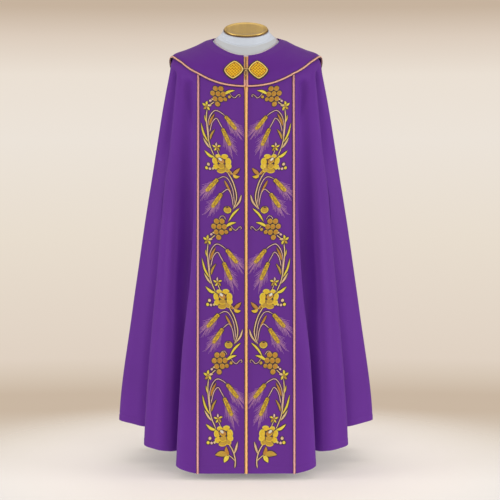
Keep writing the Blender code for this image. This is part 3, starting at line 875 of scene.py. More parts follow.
mantles = [mantle_half(side) for side in SIDES]
bands, band_faces = zip(*(front_band(side) for side in SIDES))

# ---------------------------------------------------------------- embroidery on the bands
# Laid out flat in millimetres: across from the centre front, down from the first grapes,
# and height off the cloth. Three repeats run down each band, mirrored from side to side.
EMBROIDERY_TOP = 1.289
MILLIMETRE = 0.001
Repeat = namedtuple("Repeat", "down stretch lower_down shift")
REPEATS = (Repeat(0, 1.020, 5, 0), Repeat(441, 1.045, 450, -4), Repeat(880, 1.085, 884, -6))
# Width and rise of the dark plum strip round each shape: painted shade on the cloth
SHADE_LINE = 2.5
SHADE_LINE_RISE = 0.35
SUNK = -0.2
STEM_STEPS = 22
LEAF_STEPS = 16
DOME_SIDES = 24
CURVE_STEPS = 60
THREAD_SHIFT = 0.137
BRIGHT_THREADS = ("yellow", "gold", "ochre", "amber", "silver")
# Each thread's finish and slot
THREADS = {
    **{thread: (f"{thread}_thread", "embroidery_gold") for thread in BRIGHT_THREADS},
    **{thread: (f"{thread}_thread", "embroidery_stem") for thread in ("stem", "rosy")},
    "awn": ("awn_thread", "embroidery_awn"),
    # the dark plum strips round the shapes paint their shade
    "outline": ("plum_thread", "embroidery_stem"),
}


class Stitching:
    """Raised shapes of one thread colour: rows of across, down, height, u and v, and their quads."""

    def __init__(self, outline=None):
        self.rows, self.faces = [], []
        # stitching of the dark plum strips under the shapes: painted shade
        self.outline = outline

    def patch(self, grid, uv, closed=False):
        """Add a grid of places and its UVs in quads, joined at its sides if closed."""
        index = np.arange(grid.shape[0] * grid.shape[1]).reshape(grid.shape[:2])
        index = np.pad(index, ((0, 0), (0, int(closed))), mode="wrap") + sum(map(len, self.rows))
        self.rows.append(np.concatenate([grid, uv * MILLIMETRE], axis=2).reshape(-1, 5))
        self.faces.append(quads(index).reshape(-1, 4))


def flat_curve(path, steps):
    """Evenly spaced points of a smooth curve through flat places, with their sideways way."""
    knots = [Vector(place) for place in path]
    knots = [2 * knots[0] - knots[1], *knots, 2 * knots[-1] - knots[-2]]
    last = len(path) - 1
    fine = np.array([cubic(knots, last * step / CURVE_STEPS) for step in range(CURVE_STEPS + 1)])
    run = np.concatenate([[0], np.linalg.norm(np.diff(fine, axis=0), axis=1).cumsum()])
    even = np.linspace(0, run[-1], steps + 1)
    points = np.stack([np.interp(even, run, fine[:, axis]) for axis in (0, 1)], axis=1)
    along = unit(np.gradient(points, axis=0))
    return points, np.stack([-along[:, 1], along[:, 0]], axis=1), even


def strip(work, curve, spread, rise):
    """A grid of stitches along a curve, given how far each column lies to its side and its rise."""
    points, sideways, run = curve
    flat = points[:, None, :] + sideways[:, None, :] * spread[:, :, None]
    run = np.broadcast_to(run[:, None], spread.shape)
    grid = np.concatenate([flat, np.broadcast_to(rise, spread.shape)[:, :, None]], axis=2)
    work.patch(grid, np.stack([np.abs(spread), run], axis=2))


def band_of_stitches(work, path, widths, height, profile, base=0.0, edge=SHADE_LINE):
    """A raised strip along a curve; the profile is its height from edge to edge. Where the work has one, a
    dark plum strip a little wider lies under it and paints its shade on the cloth.
    """
    curve = flat_curve(path, len(widths) - 1)
    half = widths[:, None] / 2
    full = np.sqrt(np.clip(widths / max(widths.max(), 1e-6), 0.05, 1))[:, None]
    strip(work, curve, half * np.linspace(-1, 1, len(profile)), base + height * full * profile)
    # a dark plum strip a little wider on both sides: painted shade
    if edge and work.outline:
        spread = (half + edge) * (-1, -0.94, 0.94, 1)
        strip(work.outline, curve, spread, base + np.array((SUNK, SHADE_LINE_RISE, SHADE_LINE_RISE, SUNK)))


ROUND_TOP = np.array((SUNK, 0.7, 1.0, 0.7, SUNK))
VEINED_TOP = np.array((SUNK, 0.85, 0.95, 0.55, 0.95, 0.85, SUNK))


def stem(work, path, width, height=1.3, base=0.0, edge=SHADE_LINE):
    """A stem-stitched line with round ends."""
    share = np.linspace(0, 1, STEM_STEPS + 1)
    ends = np.clip(np.minimum(share, 1 - share) * 12, 0.1, 1) ** 0.5
    band_of_stitches(work, path, width * ends, height, ROUND_TOP, base, edge)


def leaf(work, path, width, height=1.7, belly=0.8):
    """A pointed satin-stitched leaf with a sunken vein; a small belly is fullest early."""
    share = np.linspace(0, 1, LEAF_STEPS + 1)
    widths = width * np.maximum(np.sin(np.pi * share**belly), 0.04) ** 0.8
    band_of_stitches(work, path, widths, height, VEINED_TOP)


def turned_oval(place, half_long, half_wide, turn, angle):
    """Places on an oval whose long way is turned from across to down, in degrees."""
    cosine, sine = math.cos(math.radians(turn)), math.sin(math.radians(turn))
    along, wide = np.cos(angle) * half_long, np.sin(angle) * half_wide
    return np.stack([along * cosine - wide * sine, along * sine + wide * cosine], axis=-1) + place


DOME = ((1.00, SUNK), (0.96, 0.45), (0.84, 0.75), (0.60, 0.93), (0.30, 0.99), (0.02, 1.0))


def dome(work, place, sizes, height, turn=0.0, base=0.0, lobes=0, lobe_depth=0.0, edge=SHADE_LINE):
    """A padded satin oval of two half sizes, turned in degrees, perhaps with a wavy edge. Where the work
    has one, a dark plum ring round it paints its shade on the cloth.
    """
    angle = np.arange(DOME_SIDES) * 2 * np.pi / DOME_SIDES
    size = 1 + lobe_depth * np.cos(lobes * angle)
    rim_places = turned_oval((0, 0), sizes[0] * size, sizes[1] * size, turn, angle)
    reach, rise = (np.array(column)[:, None, None] for column in zip(*DOME))
    heights = np.broadcast_to(base + height * rise, (len(DOME), DOME_SIDES, 1))
    uv = np.stack([np.sin(angle) * sizes[1] * size, np.cos(angle) * sizes[0] * size], axis=1)
    grid = np.concatenate([rim_places * reach + place, heights], axis=2)
    work.patch(grid, uv * reach, closed=True)
    # a dark plum ring round the oval: painted shade
    if edge and work.outline:
        reach = np.linalg.norm(rim_places, axis=1, keepdims=True)
        scales = ((reach + edge) / reach, (reach + edge * 0.9) / reach, 0.9)
        grid = np.stack([np.pad(rim_places * scale + place, ((0, 0), (0, 1))) for scale in scales])
        grid[0, :, 2], grid[1:, :, 2] = base + SUNK, base + SHADE_LINE_RISE
        work.outline.patch(grid, grid[:, :, :2], closed=True)


def rim(work, place, sizes, turn, begin, end, width, height, base):
    """A bright cord along part of an oval's edge, from one angle to another."""
    path = turned_oval(place, *sizes, turn, np.radians(np.linspace(begin, end, 7)))
    stem(work, path, width, height, base, edge=0)


def ahead(place, turn, distance):
    """The flat place a distance away in the direction of a turn in degrees."""
    turn = math.radians(turn)
    return place[0] + distance * math.cos(turn), place[1] + distance * math.sin(turn)


PAIRS = 8
AWNS = 52
EVEN_SCATTER = 0.618
EAR_TONES = ("gold", "gold", "ochre")
GRAIN_LENGTH = 10.5
GRAIN_WIDTH = 5.2
GRAIN_HEIGHT = 2.2
GRAIN_BELLY = 0.9
EAR_HALF_WIDTH = 4.6
AWN_HALF = 18
AWN_UNEVEN = 6


def corn_ear(works, start, end, seed):
    """An ear of corn: two rows of padded grains, a last one at the tip, and its long awns."""
    across, down = end[0] - start[0], end[1] - start[1]
    length, turn = math.hypot(across, down), math.degrees(math.atan2(down, across))
    for pair in range(PAIRS):
        spine = ahead(start, turn, length * (0.04 + 0.84 * pair / (PAIRS - 1)))
        swell = 0.8 + 0.3 * math.sin(math.pi * (0.15 + 0.75 * pair / (PAIRS - 1)))
        for way in (-1, 1):
            foot = ahead(spine, turn + way * 90, 0.8)
            middle = ahead(foot, turn + way * 34, 5.5 * swell)
            tip = ahead(foot, turn + way * 27, GRAIN_LENGTH * swell)
            tone = EAR_TONES[(pair + (way > 0) + seed) % len(EAR_TONES)]
            leaf(works[tone], (foot, middle, tip), GRAIN_WIDTH * swell, GRAIN_HEIGHT, GRAIN_BELLY)
    last = [ahead(end, turn, distance) for distance in (-6, -1, 5)]
    leaf(works["gold"], last, 4.6, GRAIN_HEIGHT, GRAIN_BELLY)
    stem(works["ochre"], (start, ahead(start, turn, length * 0.5), end), 3.0, 1.7)
    for hair in range(AWNS):
        spin = math.sin(12.9 * (hair + 1) + 4.1 * seed)
        way = 1 if hair % 2 else -1
        share = 0.20 + 0.82 * ((hair * EVEN_SCATTER + 0.13 * seed) % 1.0)
        foot = ahead(ahead(start, turn, length * share), turn + way * 90, EAR_HALF_WIDTH * (1.1 - share))
        lean = turn + way * (5 + 17 * (1.15 - share)) + 3.5 * spin
        half = AWN_HALF + AWN_UNEVEN * math.sin(7.3 * hair + seed)
        bend = ahead(foot, lean, half)
        stem(works["awn"], (foot, bend, ahead(bend, lean + way * 5 + 3 * spin, half)), 1.0, 0.5)


def blossom(works, place, length, width, first_turn, tones, heart):
    """A small open flower of pointed petals, one for each tone."""
    for petal, tone in enumerate(tones):
        turn = first_turn + 360 * petal / len(tones)
        path = (ahead(place, turn, 1.5), ahead(place, turn + 8, length * 0.55), ahead(place, turn, length))
        leaf(works[tone], path, width, 1.8, 0.95)
    dome(works[heart], place, (2.8, 2.8), 1.6, base=0.7)


# A petal: across, down, half its length and width, its turn, its base, its body and its edge
ROSE = (
    (3, 26, 15, 9.5, 10, 0.0, "ochre", "gold"),
    (-15, 20, 12, 8.5, -40, 0.3, "ochre", "gold"),
    (20, 14, 11, 9, 35, 0.6, "gold", "yellow"),
    (24, -5, 12.5, 9, -75, 0.9, "gold", "yellow"),
    (12, -21, 11, 8, -25, 0.5, "gold", "yellow"),
    (-8, -24, 13, 8.5, 15, 0.7, "gold", "yellow"),
    (-22, 8, 11, 9.5, -25, 1.0, "gold", "yellow"),
    (-21, -8, 12.5, 10.5, -80, 1.2, "gold", "yellow"),
    (2, 10, 13, 9.5, 15, 1.6, "ochre", "gold"),
)
ROSE_SPREAD = (0.92, 0.88)
PETAL_SIZE = 0.9
RIM_REACH = 75


def rose(works, place):
    """A full rose: outer petals with bright edges round a folded heart, with a pale silver patch on the
    heart as its painted highlight.
    """
    for across, down, half_long, half_wide, turn, base, body, edge in ROSE:
        middle = (place[0] + ROSE_SPREAD[0] * across, place[1] + ROSE_SPREAD[1] * down)
        sizes = (PETAL_SIZE * half_long, PETAL_SIZE * half_wide)
        dome(works[body], middle, sizes, 1.5, turn, base, 3, 0.05, 1.6)
        outward = math.degrees(math.atan2(down, across)) - turn
        span = (outward - RIM_REACH, outward + RIM_REACH)
        rim(works[edge], middle, sizes, turn, *span, 3.2, 0.9, base + 1.1)
    heart = (place[0] + 3, place[1] - 7)
    dome(works["amber"], heart, (12.0, 8.5), 1.2, -25, 2.4, edge=2.4)
    # a pale silver patch on the heart: painted highlight
    dome(works["silver"], (heart[0] + 3, heart[1] - 5), (6.8, 4.2), 0.9, -35, 3.2, edge=0.8)
    rim(works["gold"], heart, (10.5, 7.5), -25, 20, 150, 2.4, 1.0, 3.0)


# A grape: across, down and radius
GRAPES = (
    (101, 8, 8.9), (83, 6, 8.9), (110, 25, 8.7), (92, 24, 9.0), (75, 23, 8.8),
    (102, 42, 8.5), (84, 41, 8.8), (69, 39, 6.8), (94, 58, 8.6),
)
# Stems, then the leaves that lie over them: stitch, thread, width and path
UPPER_LINES = (
    (stem, "stem", 4.2, ((129, 80), (131, 111), (127, 156), (120, 195), (104, 231))),
    (stem, "rosy", 3.2, ((122, 172), (126, 132), (118, 99), (102, 80), (84, 84), (69, 94))),
    (stem, "rosy", 3.2, ((120, 153), (112, 121), (98, 105), (88, 118), (78, 135))),
    (stem, "stem", 3.6, ((122, 68), (114, 60), (106, 53))),
    (stem, "rosy", 2.4, ((55, 17), (46, 28), (37, 32), (30, 25), (23, 20), (19, 25), (23, 29))),
    (stem, "stem", 3.0, ((96, 208), (92, 217), (88, 227))),
    (leaf, "yellow", 9.5, ((72, 23), (55, 12), (37, 7))),
    (leaf, "yellow", 4.5, ((131, 124), (135, 113), (137, 101))),
    (leaf, "amber", 8.0, ((122, 133), (115, 112), (104, 91))),
    (leaf, "ochre", 7.0, ((119, 178), (114, 160), (103, 142))),
    (leaf, "yellow", 7.0, ((125, 187), (140, 162), (149, 130))),
    (leaf, "stem", 7.0, ((119, 206), (131, 192), (142, 175))),
    (leaf, "yellow", 10.0, ((105, 233), (120, 230), (137, 217))),
)
LOWER_LINES = (
    (stem, "stem", 4.4, ((63, 275), (46, 303), (36, 331), (31, 359), (36, 384), (43, 400))),
    (stem, "rosy", 3.2, ((38, 380), (43, 336), (57, 304), (73, 294), (92, 303))),
    (stem, "rosy", 3.2, ((42, 390), (47, 357), (55, 339), (63, 335), (79, 349))),
    (stem, "rosy", 2.4, ((89, 437), (83, 427), (74, 425), (66, 436))),
    (stem, "stem", 3.0, ((52, 273), (46, 281), (40, 289))),
    (leaf, "amber", 7.5, ((71, 306), (61, 325), (49, 344))),
    (leaf, "stem", 6.5, ((15, 351), (22, 374), (40, 399))),
    (leaf, "yellow", 7.5, ((22, 396), (42, 416), (58, 442))),
    (leaf, "amber", 13.0, ((44, 286), (33, 276), (20, 262))),
    (leaf, "gold", 12.0, ((43, 287), (33, 292), (21, 290))),
    (leaf, "amber", 8.0, ((47, 286), (53, 277), (55, 268))),
)
TAIL_LINES = (
    (stem, "stem", 4.6, ((64, 292), (50, 315), (43, 337), (41, 356), (43, 374))),
    (stem, "stem", 3.4, ((42, 350), (52, 340), (64, 331))),
    (leaf, "stem", 7.5, ((44, 326), (38, 307), (33, 287))),
    (leaf, "amber", 13.0, ((63, 331), (70, 319), (71, 303))),
    (leaf, "ochre", 21.0, ((67, 331), (86, 327), (107, 331))),
    (leaf, "yellow", 16.0, ((63, 334), (71, 343), (78, 356))),
)
# Knobs, buds and berries: thread, place, half sizes, height and turn
UPPER_KNOBS = (
    ("rosy", (118, 51), (4.5, 3.5), 1.6, 40),
    ("stem", (111, 45), (3.5, 3.0), 1.4, 0),
    ("ochre", (55, 30), (5.0, 5.0), 1.8, 0),
    ("stem", (124, 259), (5.0, 5.0), 2.2, 0),
    ("yellow", (130, 272), (5.0, 5.0), 2.2, 0),
    ("rosy", (119, 273), (4.2, 4.2), 2.2, 0),
    ("stem", (109, 271), (3.8, 3.8), 2.2, 0),
)


def upper_part(works):
    """Grapes, the star flower, two ears of corn, the small flower, the rose and berries."""
    for index, (across, down, radius) in enumerate(GRAPES):
        base = 0.3 * (index % 3)
        place, wide = (across, down), radius + SHADE_LINE
        # a dark plum disc under each grape: painted shade round and between the berries
        dome(works["outline"], place, (wide, wide), 0.6, base=-0.3)
        dome(works["ochre"], place, (radius, radius * 0.96), 2.0, 20 * index, base, edge=1.3)
        shine = (radius * 0.74, radius * 0.68)
        dome(works["amber"], (across, down + 0.5), shine, 1.0, 0, base + 1.5, edge=0)
    blossom(works, (130, 70), 16, 8, -95, ("yellow", "yellow", "ochre", "yellow", "stem"), "ochre")
    blossom(works, (97, 199), 15, 6.5, -88, ("rosy", "yellow", "yellow", "ochre", "yellow"), "amber")
    corn_ear(works, (70, 93), (34, 134), 1)
    corn_ear(works, (79, 134), (53, 188), 2)
    rose(works, (79, 250))
    for thread, place, sizes, height, turn in UPPER_KNOBS:
        dome(works[thread], place, sizes, height, turn)


def lower_part(works):
    """Two more ears and the round bud."""
    corn_ear(works, (92, 303), (130, 348), 3)
    corn_ear(works, (79, 349), (111, 398), 4)
    dome(works["ochre"], (61, 403), (12.5, 11.5), 2.4, 0, 0.0, 6, 0.03)
    rim(works["yellow"], (61, 403), (11, 10), 0, -50, 230, 3.4, 1.0, 0.9)
    # a dark plum patch on the bud's top: painted shade of a hollow
    dome(works["outline"], (62, 395), (4.8, 2.2), 0.8, 0, 2.2)


def worked(lines, motifs=None):
    """A part of the pattern: stitching for every thread, with a dark plum strip of painted shade round
    every shape but the awns.
    """
    works = {"outline": Stitching(), "awn": Stitching()}
    for thread in THREADS:
        works.setdefault(thread, Stitching(works["outline"]))
    for stitch, thread, width, path in lines:
        stitch(works[thread], path, width)
    if motifs:
        motifs(works)
    return works


UPPER, LOWER = worked(UPPER_LINES, upper_part), worked(LOWER_LINES, lower_part)
TAIL = worked(TAIL_LINES)


def whole_run(thread):
    """Every repeat of one thread colour down a band; the last one ends in the tail."""
    rows, faces = [], []
    for repeat in REPEATS:
        lower = TAIL if repeat is REPEATS[-1] else LOWER
        for part, stretch, down in ((UPPER, repeat.stretch, repeat.down), (lower, 1.0, repeat.lower_down)):
            if part[thread].rows:
                faces.append(np.concatenate(part[thread].faces) + sum(map(len, rows)))
                shift = (repeat.shift, down, 0, 0, THREAD_SHIFT * (len(rows) + 1))
                rows.append(np.concatenate(part[thread].rows) * (1, stretch, 1, 1, 1) + shift)
    return np.concatenate(rows), np.concatenate(faces)


def laid_on(surface, flat):
    """Flat places on the outer face of a band, moved out by their height."""
    rows, columns = surface.shape[:2]
    across, down, height = (flat * MILLIMETRE).T
    run = arc_lengths(surface)[1].mean(axis=1)
    start = np.interp(-EMBROIDERY_TOP, -surface[:, :, 2].mean(axis=1), run)
    row = np.interp(start + down, run, np.arange(rows))
    inner, outer = (np.interp(row, np.arange(rows), surface[:, end, 0]) for end in (0, -1))
    column = np.clip((across - inner) / (outer - inner), 0, 0.9999) * (columns - 1)
    row_above, column_before = np.minimum(row.astype(int), rows - 2), column.astype(int)
    down_share, across_share = (row - row_above)[:, None], (column - column_before)[:, None]

    def blended(field):
        upper, lower = (
            field[line, column_before] * (1 - across_share) + field[line, column_before + 1] * across_share
            for line in (row_above, row_above + 1)
        )
        return upper * (1 - down_share) + lower * down_share

    return blended(surface) + unit(blended(outward_normals(surface))) * height[:, None]


def embroider(side, surface):
    """The whole run of embroidery on one band, a piece for each thread colour."""
    for thread, (finish, slot) in THREADS.items():
        rows, faces = whole_run(thread)
        corners = rows[faces]
        first, second = corners[:, 2, :2] - corners[:, 0, :2], corners[:, 3, :2] - corners[:, 1, :2]
        facing = first[:, 0] * second[:, 1] - first[:, 1] * second[:, 0]
        faces = np.where((facing > 0)[:, None] == (side > 0), faces[:, ::-1], faces)
        places = on_side(laid_on(surface, rows[:, :3]), side)
        mesh = mesh_of(places, faces.tolist(), rows[faces.ravel(), 3:])
        add_piece(f"embroidery_{SIDES[side]}_{thread}", mesh, finish, slot)


for wearer_side, band_face in zip(SIDES, band_faces):
    embroider(wearer_side, band_face)

# ---------------------------------------------------------------- collar with its hood
COLLAR_FRONT_COLUMNS = 24
COLLAR_BACK_COLUMNS = 64
COLLAR_ROWS = 44
COLLAR_EDGE_FADE = 0.05
COLLAR_HEM_FADE = 0.15
COLLAR_DIP = 0.0004
COLLAR_STITCH_DEPTH = 0.0006
COLLAR_STITCH_IN = 0.006
COLLAR_STITCH_WIDTH = 0.0016
# Columns run from the left front edge round the back to the right one, and levels from the
# neckline (0) to the lower edge (2).
COLLAR_CREASES = (
    (0.16, 0.60, 0.12, 2.00, 0.0012, 0.030),
    (0.27, 0.50, 0.25, 2.00, -0.0016, 0.025),
    (0.73, 0.56, 0.76, 2.00, -0.0014, 0.028),
    (0.84, 0.70, 0.88, 2.00, 0.0012, 0.030),
    (0.41, 0.60, 0.40, 1.92, 0.0024, 0.030),
    (0.50, 0.70, 0.505, 1.80, -0.0020, 0.035),
    (0.59, 0.64, 0.61, 1.96, 0.0026, 0.028),
)


def hood_points(drops):
    """The collar's outer face from the left front edge round the back to the right one."""
    first = COLLAR_EDGE_X / SEAM_X
    steps = range(COLLAR_FRONT_COLUMNS)
    stations = [first + (1 - first) * step / COLLAR_FRONT_COLUMNS for step in steps]
    stations += [1 + step / COLLAR_BACK_COLUMNS for step in range(COLLAR_BACK_COLUMNS + 1)]
    half = in_frame([collar_column(station, drops) for station in stations]).transpose(1, 0, 2)
    half[:, 0, 0] = COLLAR_EDGE_X
    return np.concatenate([half, on_side(half[:, ::-1][:, 1:], -1)], axis=1)


def hood_collar():
    """Cape collar and rounded hood in one panel, with a line of stitches inside its edge."""
    drops = np.linspace(0, 1, COLLAR_ROWS + 1)
    points = hood_points(drops)
    columns = np.linspace(0, 1, points.shape[1])
    field = crease_field(columns, 2 * drops, COLLAR_CREASES) * edge_fade(columns, COLLAR_EDGE_FADE)
    field *= smooth_step((1 - drops) / COLLAR_HEM_FADE)[:, None]
    _, v = arc_lengths(points)
    stitches = COLLAR_STITCH_DEPTH * mound(v[-1:, :] - v - COLLAR_STITCH_IN, COLLAR_STITCH_WIDTH)
    points = raised(points, np.maximum(field, -COLLAR_DIP) - stitches)
    piece = panel("cope_hood_collar", points, COLLAR_CLOTH, 1)
    return finish_piece(piece, "collar_cloth", "collar_cloth", "hood_collar"), points


collar, collar_points = hood_collar()

# ---------------------------------------------------------------- piping
CORD_SIDES = 14
THIN_SIDES = 8
CORD_SPACING = 0.0022
TWIST_PITCH = 0.019
TWIST_RELIEF = 0.06
# Thin dark cords beside the pipings: a couched gimp, and painted shade of the seams
SHADE_CORD = 0.0012
SHADE_CORD_SPACING = 0.006
COLLAR_SHADE_CORD_SPACING = 0.004
# radius of the dark braid between the front cords: painted shade of their groove
GAP_SHADE_CORD = 0.0017
SIDE_CORD_FROM = 0.45
CENTRE_CORD_FROM = 0.04


def satin_cord(name, path, radius, slot, node):
    """A satin-covered cord with the soft twist of its core."""
    mesh = cord(path, radius, CORD_SIDES, CORD_SPACING, 3, TWIST_RELIEF, TWIST_PITCH)
    add_piece(name, mesh, f"{slot}_satin", slot, node)


def edge_shade_cord(name, path, spacing=SHADE_CORD_SPACING, radius=SHADE_CORD):
    """A thin dark cord couched beside a piping; its dark colour also paints the shade of the seam along
    the cord.
    """
    add_piece(name, cord(path, radius, THIN_SIDES, spacing), "dark_edge_gimp", "side_piping")


def front_gap():
    """A dark braid between the two front cords above the lap, whose dark colour paints the shade in the
    groove between them.
    """
    levels = np.linspace(0.05, LAP_FROM, 25)
    path = in_frame([smooth_body(0.0, level) for level in levels])
    edge_shade_cord("front_gap_shade_cord", path + (0, CLOTH - CENTRE_CORD * 1.55, 0), radius=GAP_SHADE_CORD)


def side_piping(side):
    """Cord along the seam between a band and its mantle half."""
    name = SIDES[side]
    levels = [SIDE_CORD_FROM + (1 - SIDE_CORD_FROM) * step / 10 for step in range(10)]
    levels += [1 + step / 40 for step in range(41)]
    path = on_side(in_frame([lifted(1.0, level, SIDE_CORD - CLOTH) for level in levels]), side)
    satin_cord(f"side_piping_{name}", path, SIDE_CORD, "side_piping", f"piping_side_{name}")
    for away in (-1, 1):
        word = "outer" if away == side else "inner"
        edge_shade_cord(f"side_shade_cord_{name}_{word}", path + (away * (SIDE_CORD + SHADE_CORD * 0.5), 0.0004, 0))


def centre_piping(side):
    """Cord on one front edge; lower down the left one lies over the right one."""
    name = SIDES[side]
    lapped = LAP_FROM + LAP_OVER
    levels = [CENTRE_CORD_FROM + (LAP_FROM - CENTRE_CORD_FROM) * step / 12 for step in range(12)]
    levels += [LAP_FROM + LAP_OVER * step / 12 for step in range(12)]
    path = []
    for level in levels + [lapped + (2 - lapped) * step / 40 for step in range(41)]:
        x = centre_cord_x(level)
        under = math.sqrt(max(0.0, (2 * CENTRE_CORD + 3 * CLEARANCE) ** 2 - 4 * x * x))
        back = (0.0 if side > 0 else under) - (CENTRE_CORD - CLOTH)
        path.append(smooth_body(0.0, level) + Vector((side * x, back, 0.0)))
    path = in_frame(path)
    satin_cord(f"centre_piping_{name}", path, CENTRE_CORD, "centre_piping", f"piping_centre_{name}")
    edge_shade_cord(f"centre_shade_cord_{name}", path + (side * (CENTRE_CORD + SHADE_CORD * 0.6), CENTRE_CORD * 0.5, 0))


# The end of the collar's cord rounds the corner and runs up over the front cord
TURNED_UP = (
    (-0.0020, -0.0026, 0.0002),
    (-0.0034, -0.0040, 0.0016),
    (-0.0041, -0.0046, 0.0042),
    (-0.0043, -0.0045, 0.0090),
    (-0.0044, -0.0030, 0.0150),
    (-0.0044, -0.0002, 0.0200),
)


def collar_piping():
    """Cord round the lower edge of the collar and hood."""
    edge = collar_points[-1]
    along = unit(np.gradient(edge, axis=0))
    fall = edge - collar_points[-2]
    fall = unit(fall - along * (fall * along).sum(axis=1, keepdims=True))
    path = edge + fall * (COLLAR_CORD + 3 * CLEARANCE)
    first, last = (path[end] + on_side(np.array(TURNED_UP), np.sign(path[end, 0])) for end in (0, -1))
    whole = np.concatenate([first[::-1], path, last])
    satin_cord("collar_piping", whole, COLLAR_CORD, "collar_piping", "piping_collar")
    away = fall * (COLLAR_CORD + SHADE_CORD * 0.4) - outward_normals(collar_points)[-1] * SHADE_CORD * 0.5
    edge_shade_cord("collar_shade_cord_upper", path - away, COLLAR_SHADE_CORD_SPACING)
    edge_shade_cord("collar_shade_cord_lower", path + away, COLLAR_SHADE_CORD_SPACING)


front_gap()
for wearer_side in SIDES:
    side_piping(wearer_side)
    centre_piping(wearer_side)
collar_piping()

# ---------------------------------------------------------------- clasps with hook and eye
CLASP_X = 0.0402
CLASP_Z = 1.3435
CLASP_HALF_WIDTH = 0.0318
CLASP_HALF_HEIGHT = 0.0290
CLASP_LEAN = math.radians(5)
CLASP_SKEW = 0.4
CLASP_ROUNDNESS = 1.35
CLASP_THICKNESS = 0.0032
CLASP_SIDES = 120
CLASP_STEPS = 46
CLASP_FIT_REACH = 0.045
KNOT_LINES = 6
KNOT_PITCH = 0.325
KNOT_CORD = 0.0016
KNOT_WAVE = 0.0009
THREAD_SPACING = 0.0009
HOOK_WIRE = 0.0013
HOOK_OVERLAP = 0.78
HOOK_BOW = 0.0012
HOOK_RISE = 0.0010
WIRE_SIDES = 12
WIRE_SPACING = 0.0012
EYE_HALF_WIDTH = 0.0052
EYE_HALF_HEIGHT = 0.0085
EYE_DROP = 0.0035
KNOT_RELIEF = 0.18
KNOT_TWIST = 0.006
EDGE_TWIST = 0.0065
# The mount's profile: each height is a share of its thickness outside a size, and the crown
# rises inside the last one
MOUNT_PROFILE = ((0.99, 0.50), (0.84, 0.95), (0.76, 0.70))
CROWN_SIZE = MOUNT_PROFILE[-1][0]
CROWN_RISE = 0.15
# Cords round a mount: size, height, radius, relief of their twist, and finish
CLASP_CORDS = {
    "edge": (0.94, 0.0034, 0.0021, 0.22, "clasp_gold_edge"),
    "inner_edge": (0.80, 0.0024, 0.0009, 0.22, "clasp_gold_ground"),
    # the dark cord round the mount paints its shadow on the collar
    "outline": (1.085, 0.0010, 0.0024, 0.0, "clasp_plum_edge"),
}


def powers(x, z):
    """Terms of a cubic surface and its slopes along x and z."""
    pairs = [(i, j) for i in range(4) for j in range(4 - i)]
    terms = np.stack([x**i * z**j for i, j in pairs], axis=-1)
    along_x = np.stack([i * x ** max(i - 1, 0) * z**j for i, j in pairs], axis=-1)
    along_z = np.stack([j * x**i * z ** max(j - 1, 0) for i, j in pairs], axis=-1)
    return terms, along_x, along_z


def collar_fit():
    """A cubic surface through the collar's front where the left clasp lies."""
    front = collar_points[:, : COLLAR_FRONT_COLUMNS + 1].reshape(-1, 3)
    x, z = front[:, 0] - CLASP_X, front[:, 2] - CLASP_Z
    near = (np.abs(x) < CLASP_FIT_REACH) & (np.abs(z) < CLASP_FIT_REACH)
    return np.linalg.lstsq(powers(x[near], z[near])[0], front[near, 1], rcond=None)[0]


COLLAR_FIT = collar_fit()


def on_collar(x, z, height):
    """Places on the collar's front, moved out by their height."""
    terms, along_x, along_z = powers(x - CLASP_X, z - CLASP_Z)
    outwards = unit(np.stack([along_x @ COLLAR_FIT, -np.ones_like(x), along_z @ COLLAR_FIT], axis=-1))
    return np.stack([x, terms @ COLLAR_FIT, z], axis=-1) + outwards * height[..., None]


def on_clasp(side, across, up, height):
    """Places over a mount, given across and up of its middle."""
    x = CLASP_X + across * math.cos(CLASP_LEAN) - up * math.sin(CLASP_LEAN)
    z = CLASP_Z - CLASP_SKEW * across * math.sin(CLASP_LEAN) + up * math.cos(CLASP_LEAN)
    return on_side(on_collar(x, z, height + np.zeros(len(across))), side)


def clasp_ring(side, size, height):
    """One ring of the rounded diamond in place, and its flat places for the UVs."""
    turn = np.arange(CLASP_SIDES) * 2 * np.pi / CLASP_SIDES
    reach = np.abs(np.cos(turn)) ** CLASP_ROUNDNESS + np.abs(np.sin(turn)) ** CLASP_ROUNDNESS
    reach = size * reach ** (-1 / CLASP_ROUNDNESS)
    across, up = CLASP_HALF_WIDTH * reach * np.cos(turn), CLASP_HALF_HEIGHT * reach * np.sin(turn)
    return on_clasp(side, across, up, height), np.stack([across, up], axis=1)


def clasp_height(size):
    """Height of the gold work: the edge, a border, a groove and a low crown."""
    for inner_size, share in MOUNT_PROFILE:
        if size > inner_size:
            return share * CLASP_THICKNESS
    return (1.0 + CROWN_RISE * (1 - (size / CROWN_SIZE) ** 2)) * CLASP_THICKNESS


def clasp_knot(side):
    """Gold cords woven over and under one another, along the mount's two slants, as one mesh."""
    knot = bmesh.new()
    for line in range(KNOT_LINES):
        fixed = (line - (KNOT_LINES - 1) / 2) * KNOT_PITCH
        reach = np.linspace(-1.0, 1.0, 41) * (0.90 - 0.38 * fixed * fixed)
        for slant in (1, -1):
            wave = np.cos(math.pi * (reach / KNOT_PITCH + line)) * slant
            across = CLASP_HALF_WIDTH * (fixed + reach) / 2
            up = CLASP_HALF_HEIGHT * (fixed - reach) / 2 * slant
            path = on_clasp(side, across, up, 1.12 * CLASP_THICKNESS + KNOT_WAVE * wave)
            knot.from_mesh(cord(path, KNOT_CORD, THIN_SIDES, THREAD_SPACING, 2, KNOT_RELIEF, KNOT_TWIST))
    mesh = bpy.data.meshes.new("knot")
    knot.to_mesh(mesh)
    knot.free()
    mesh.set_sharp_from_angle(angle=math.radians(CORD_CREASE))
    return mesh


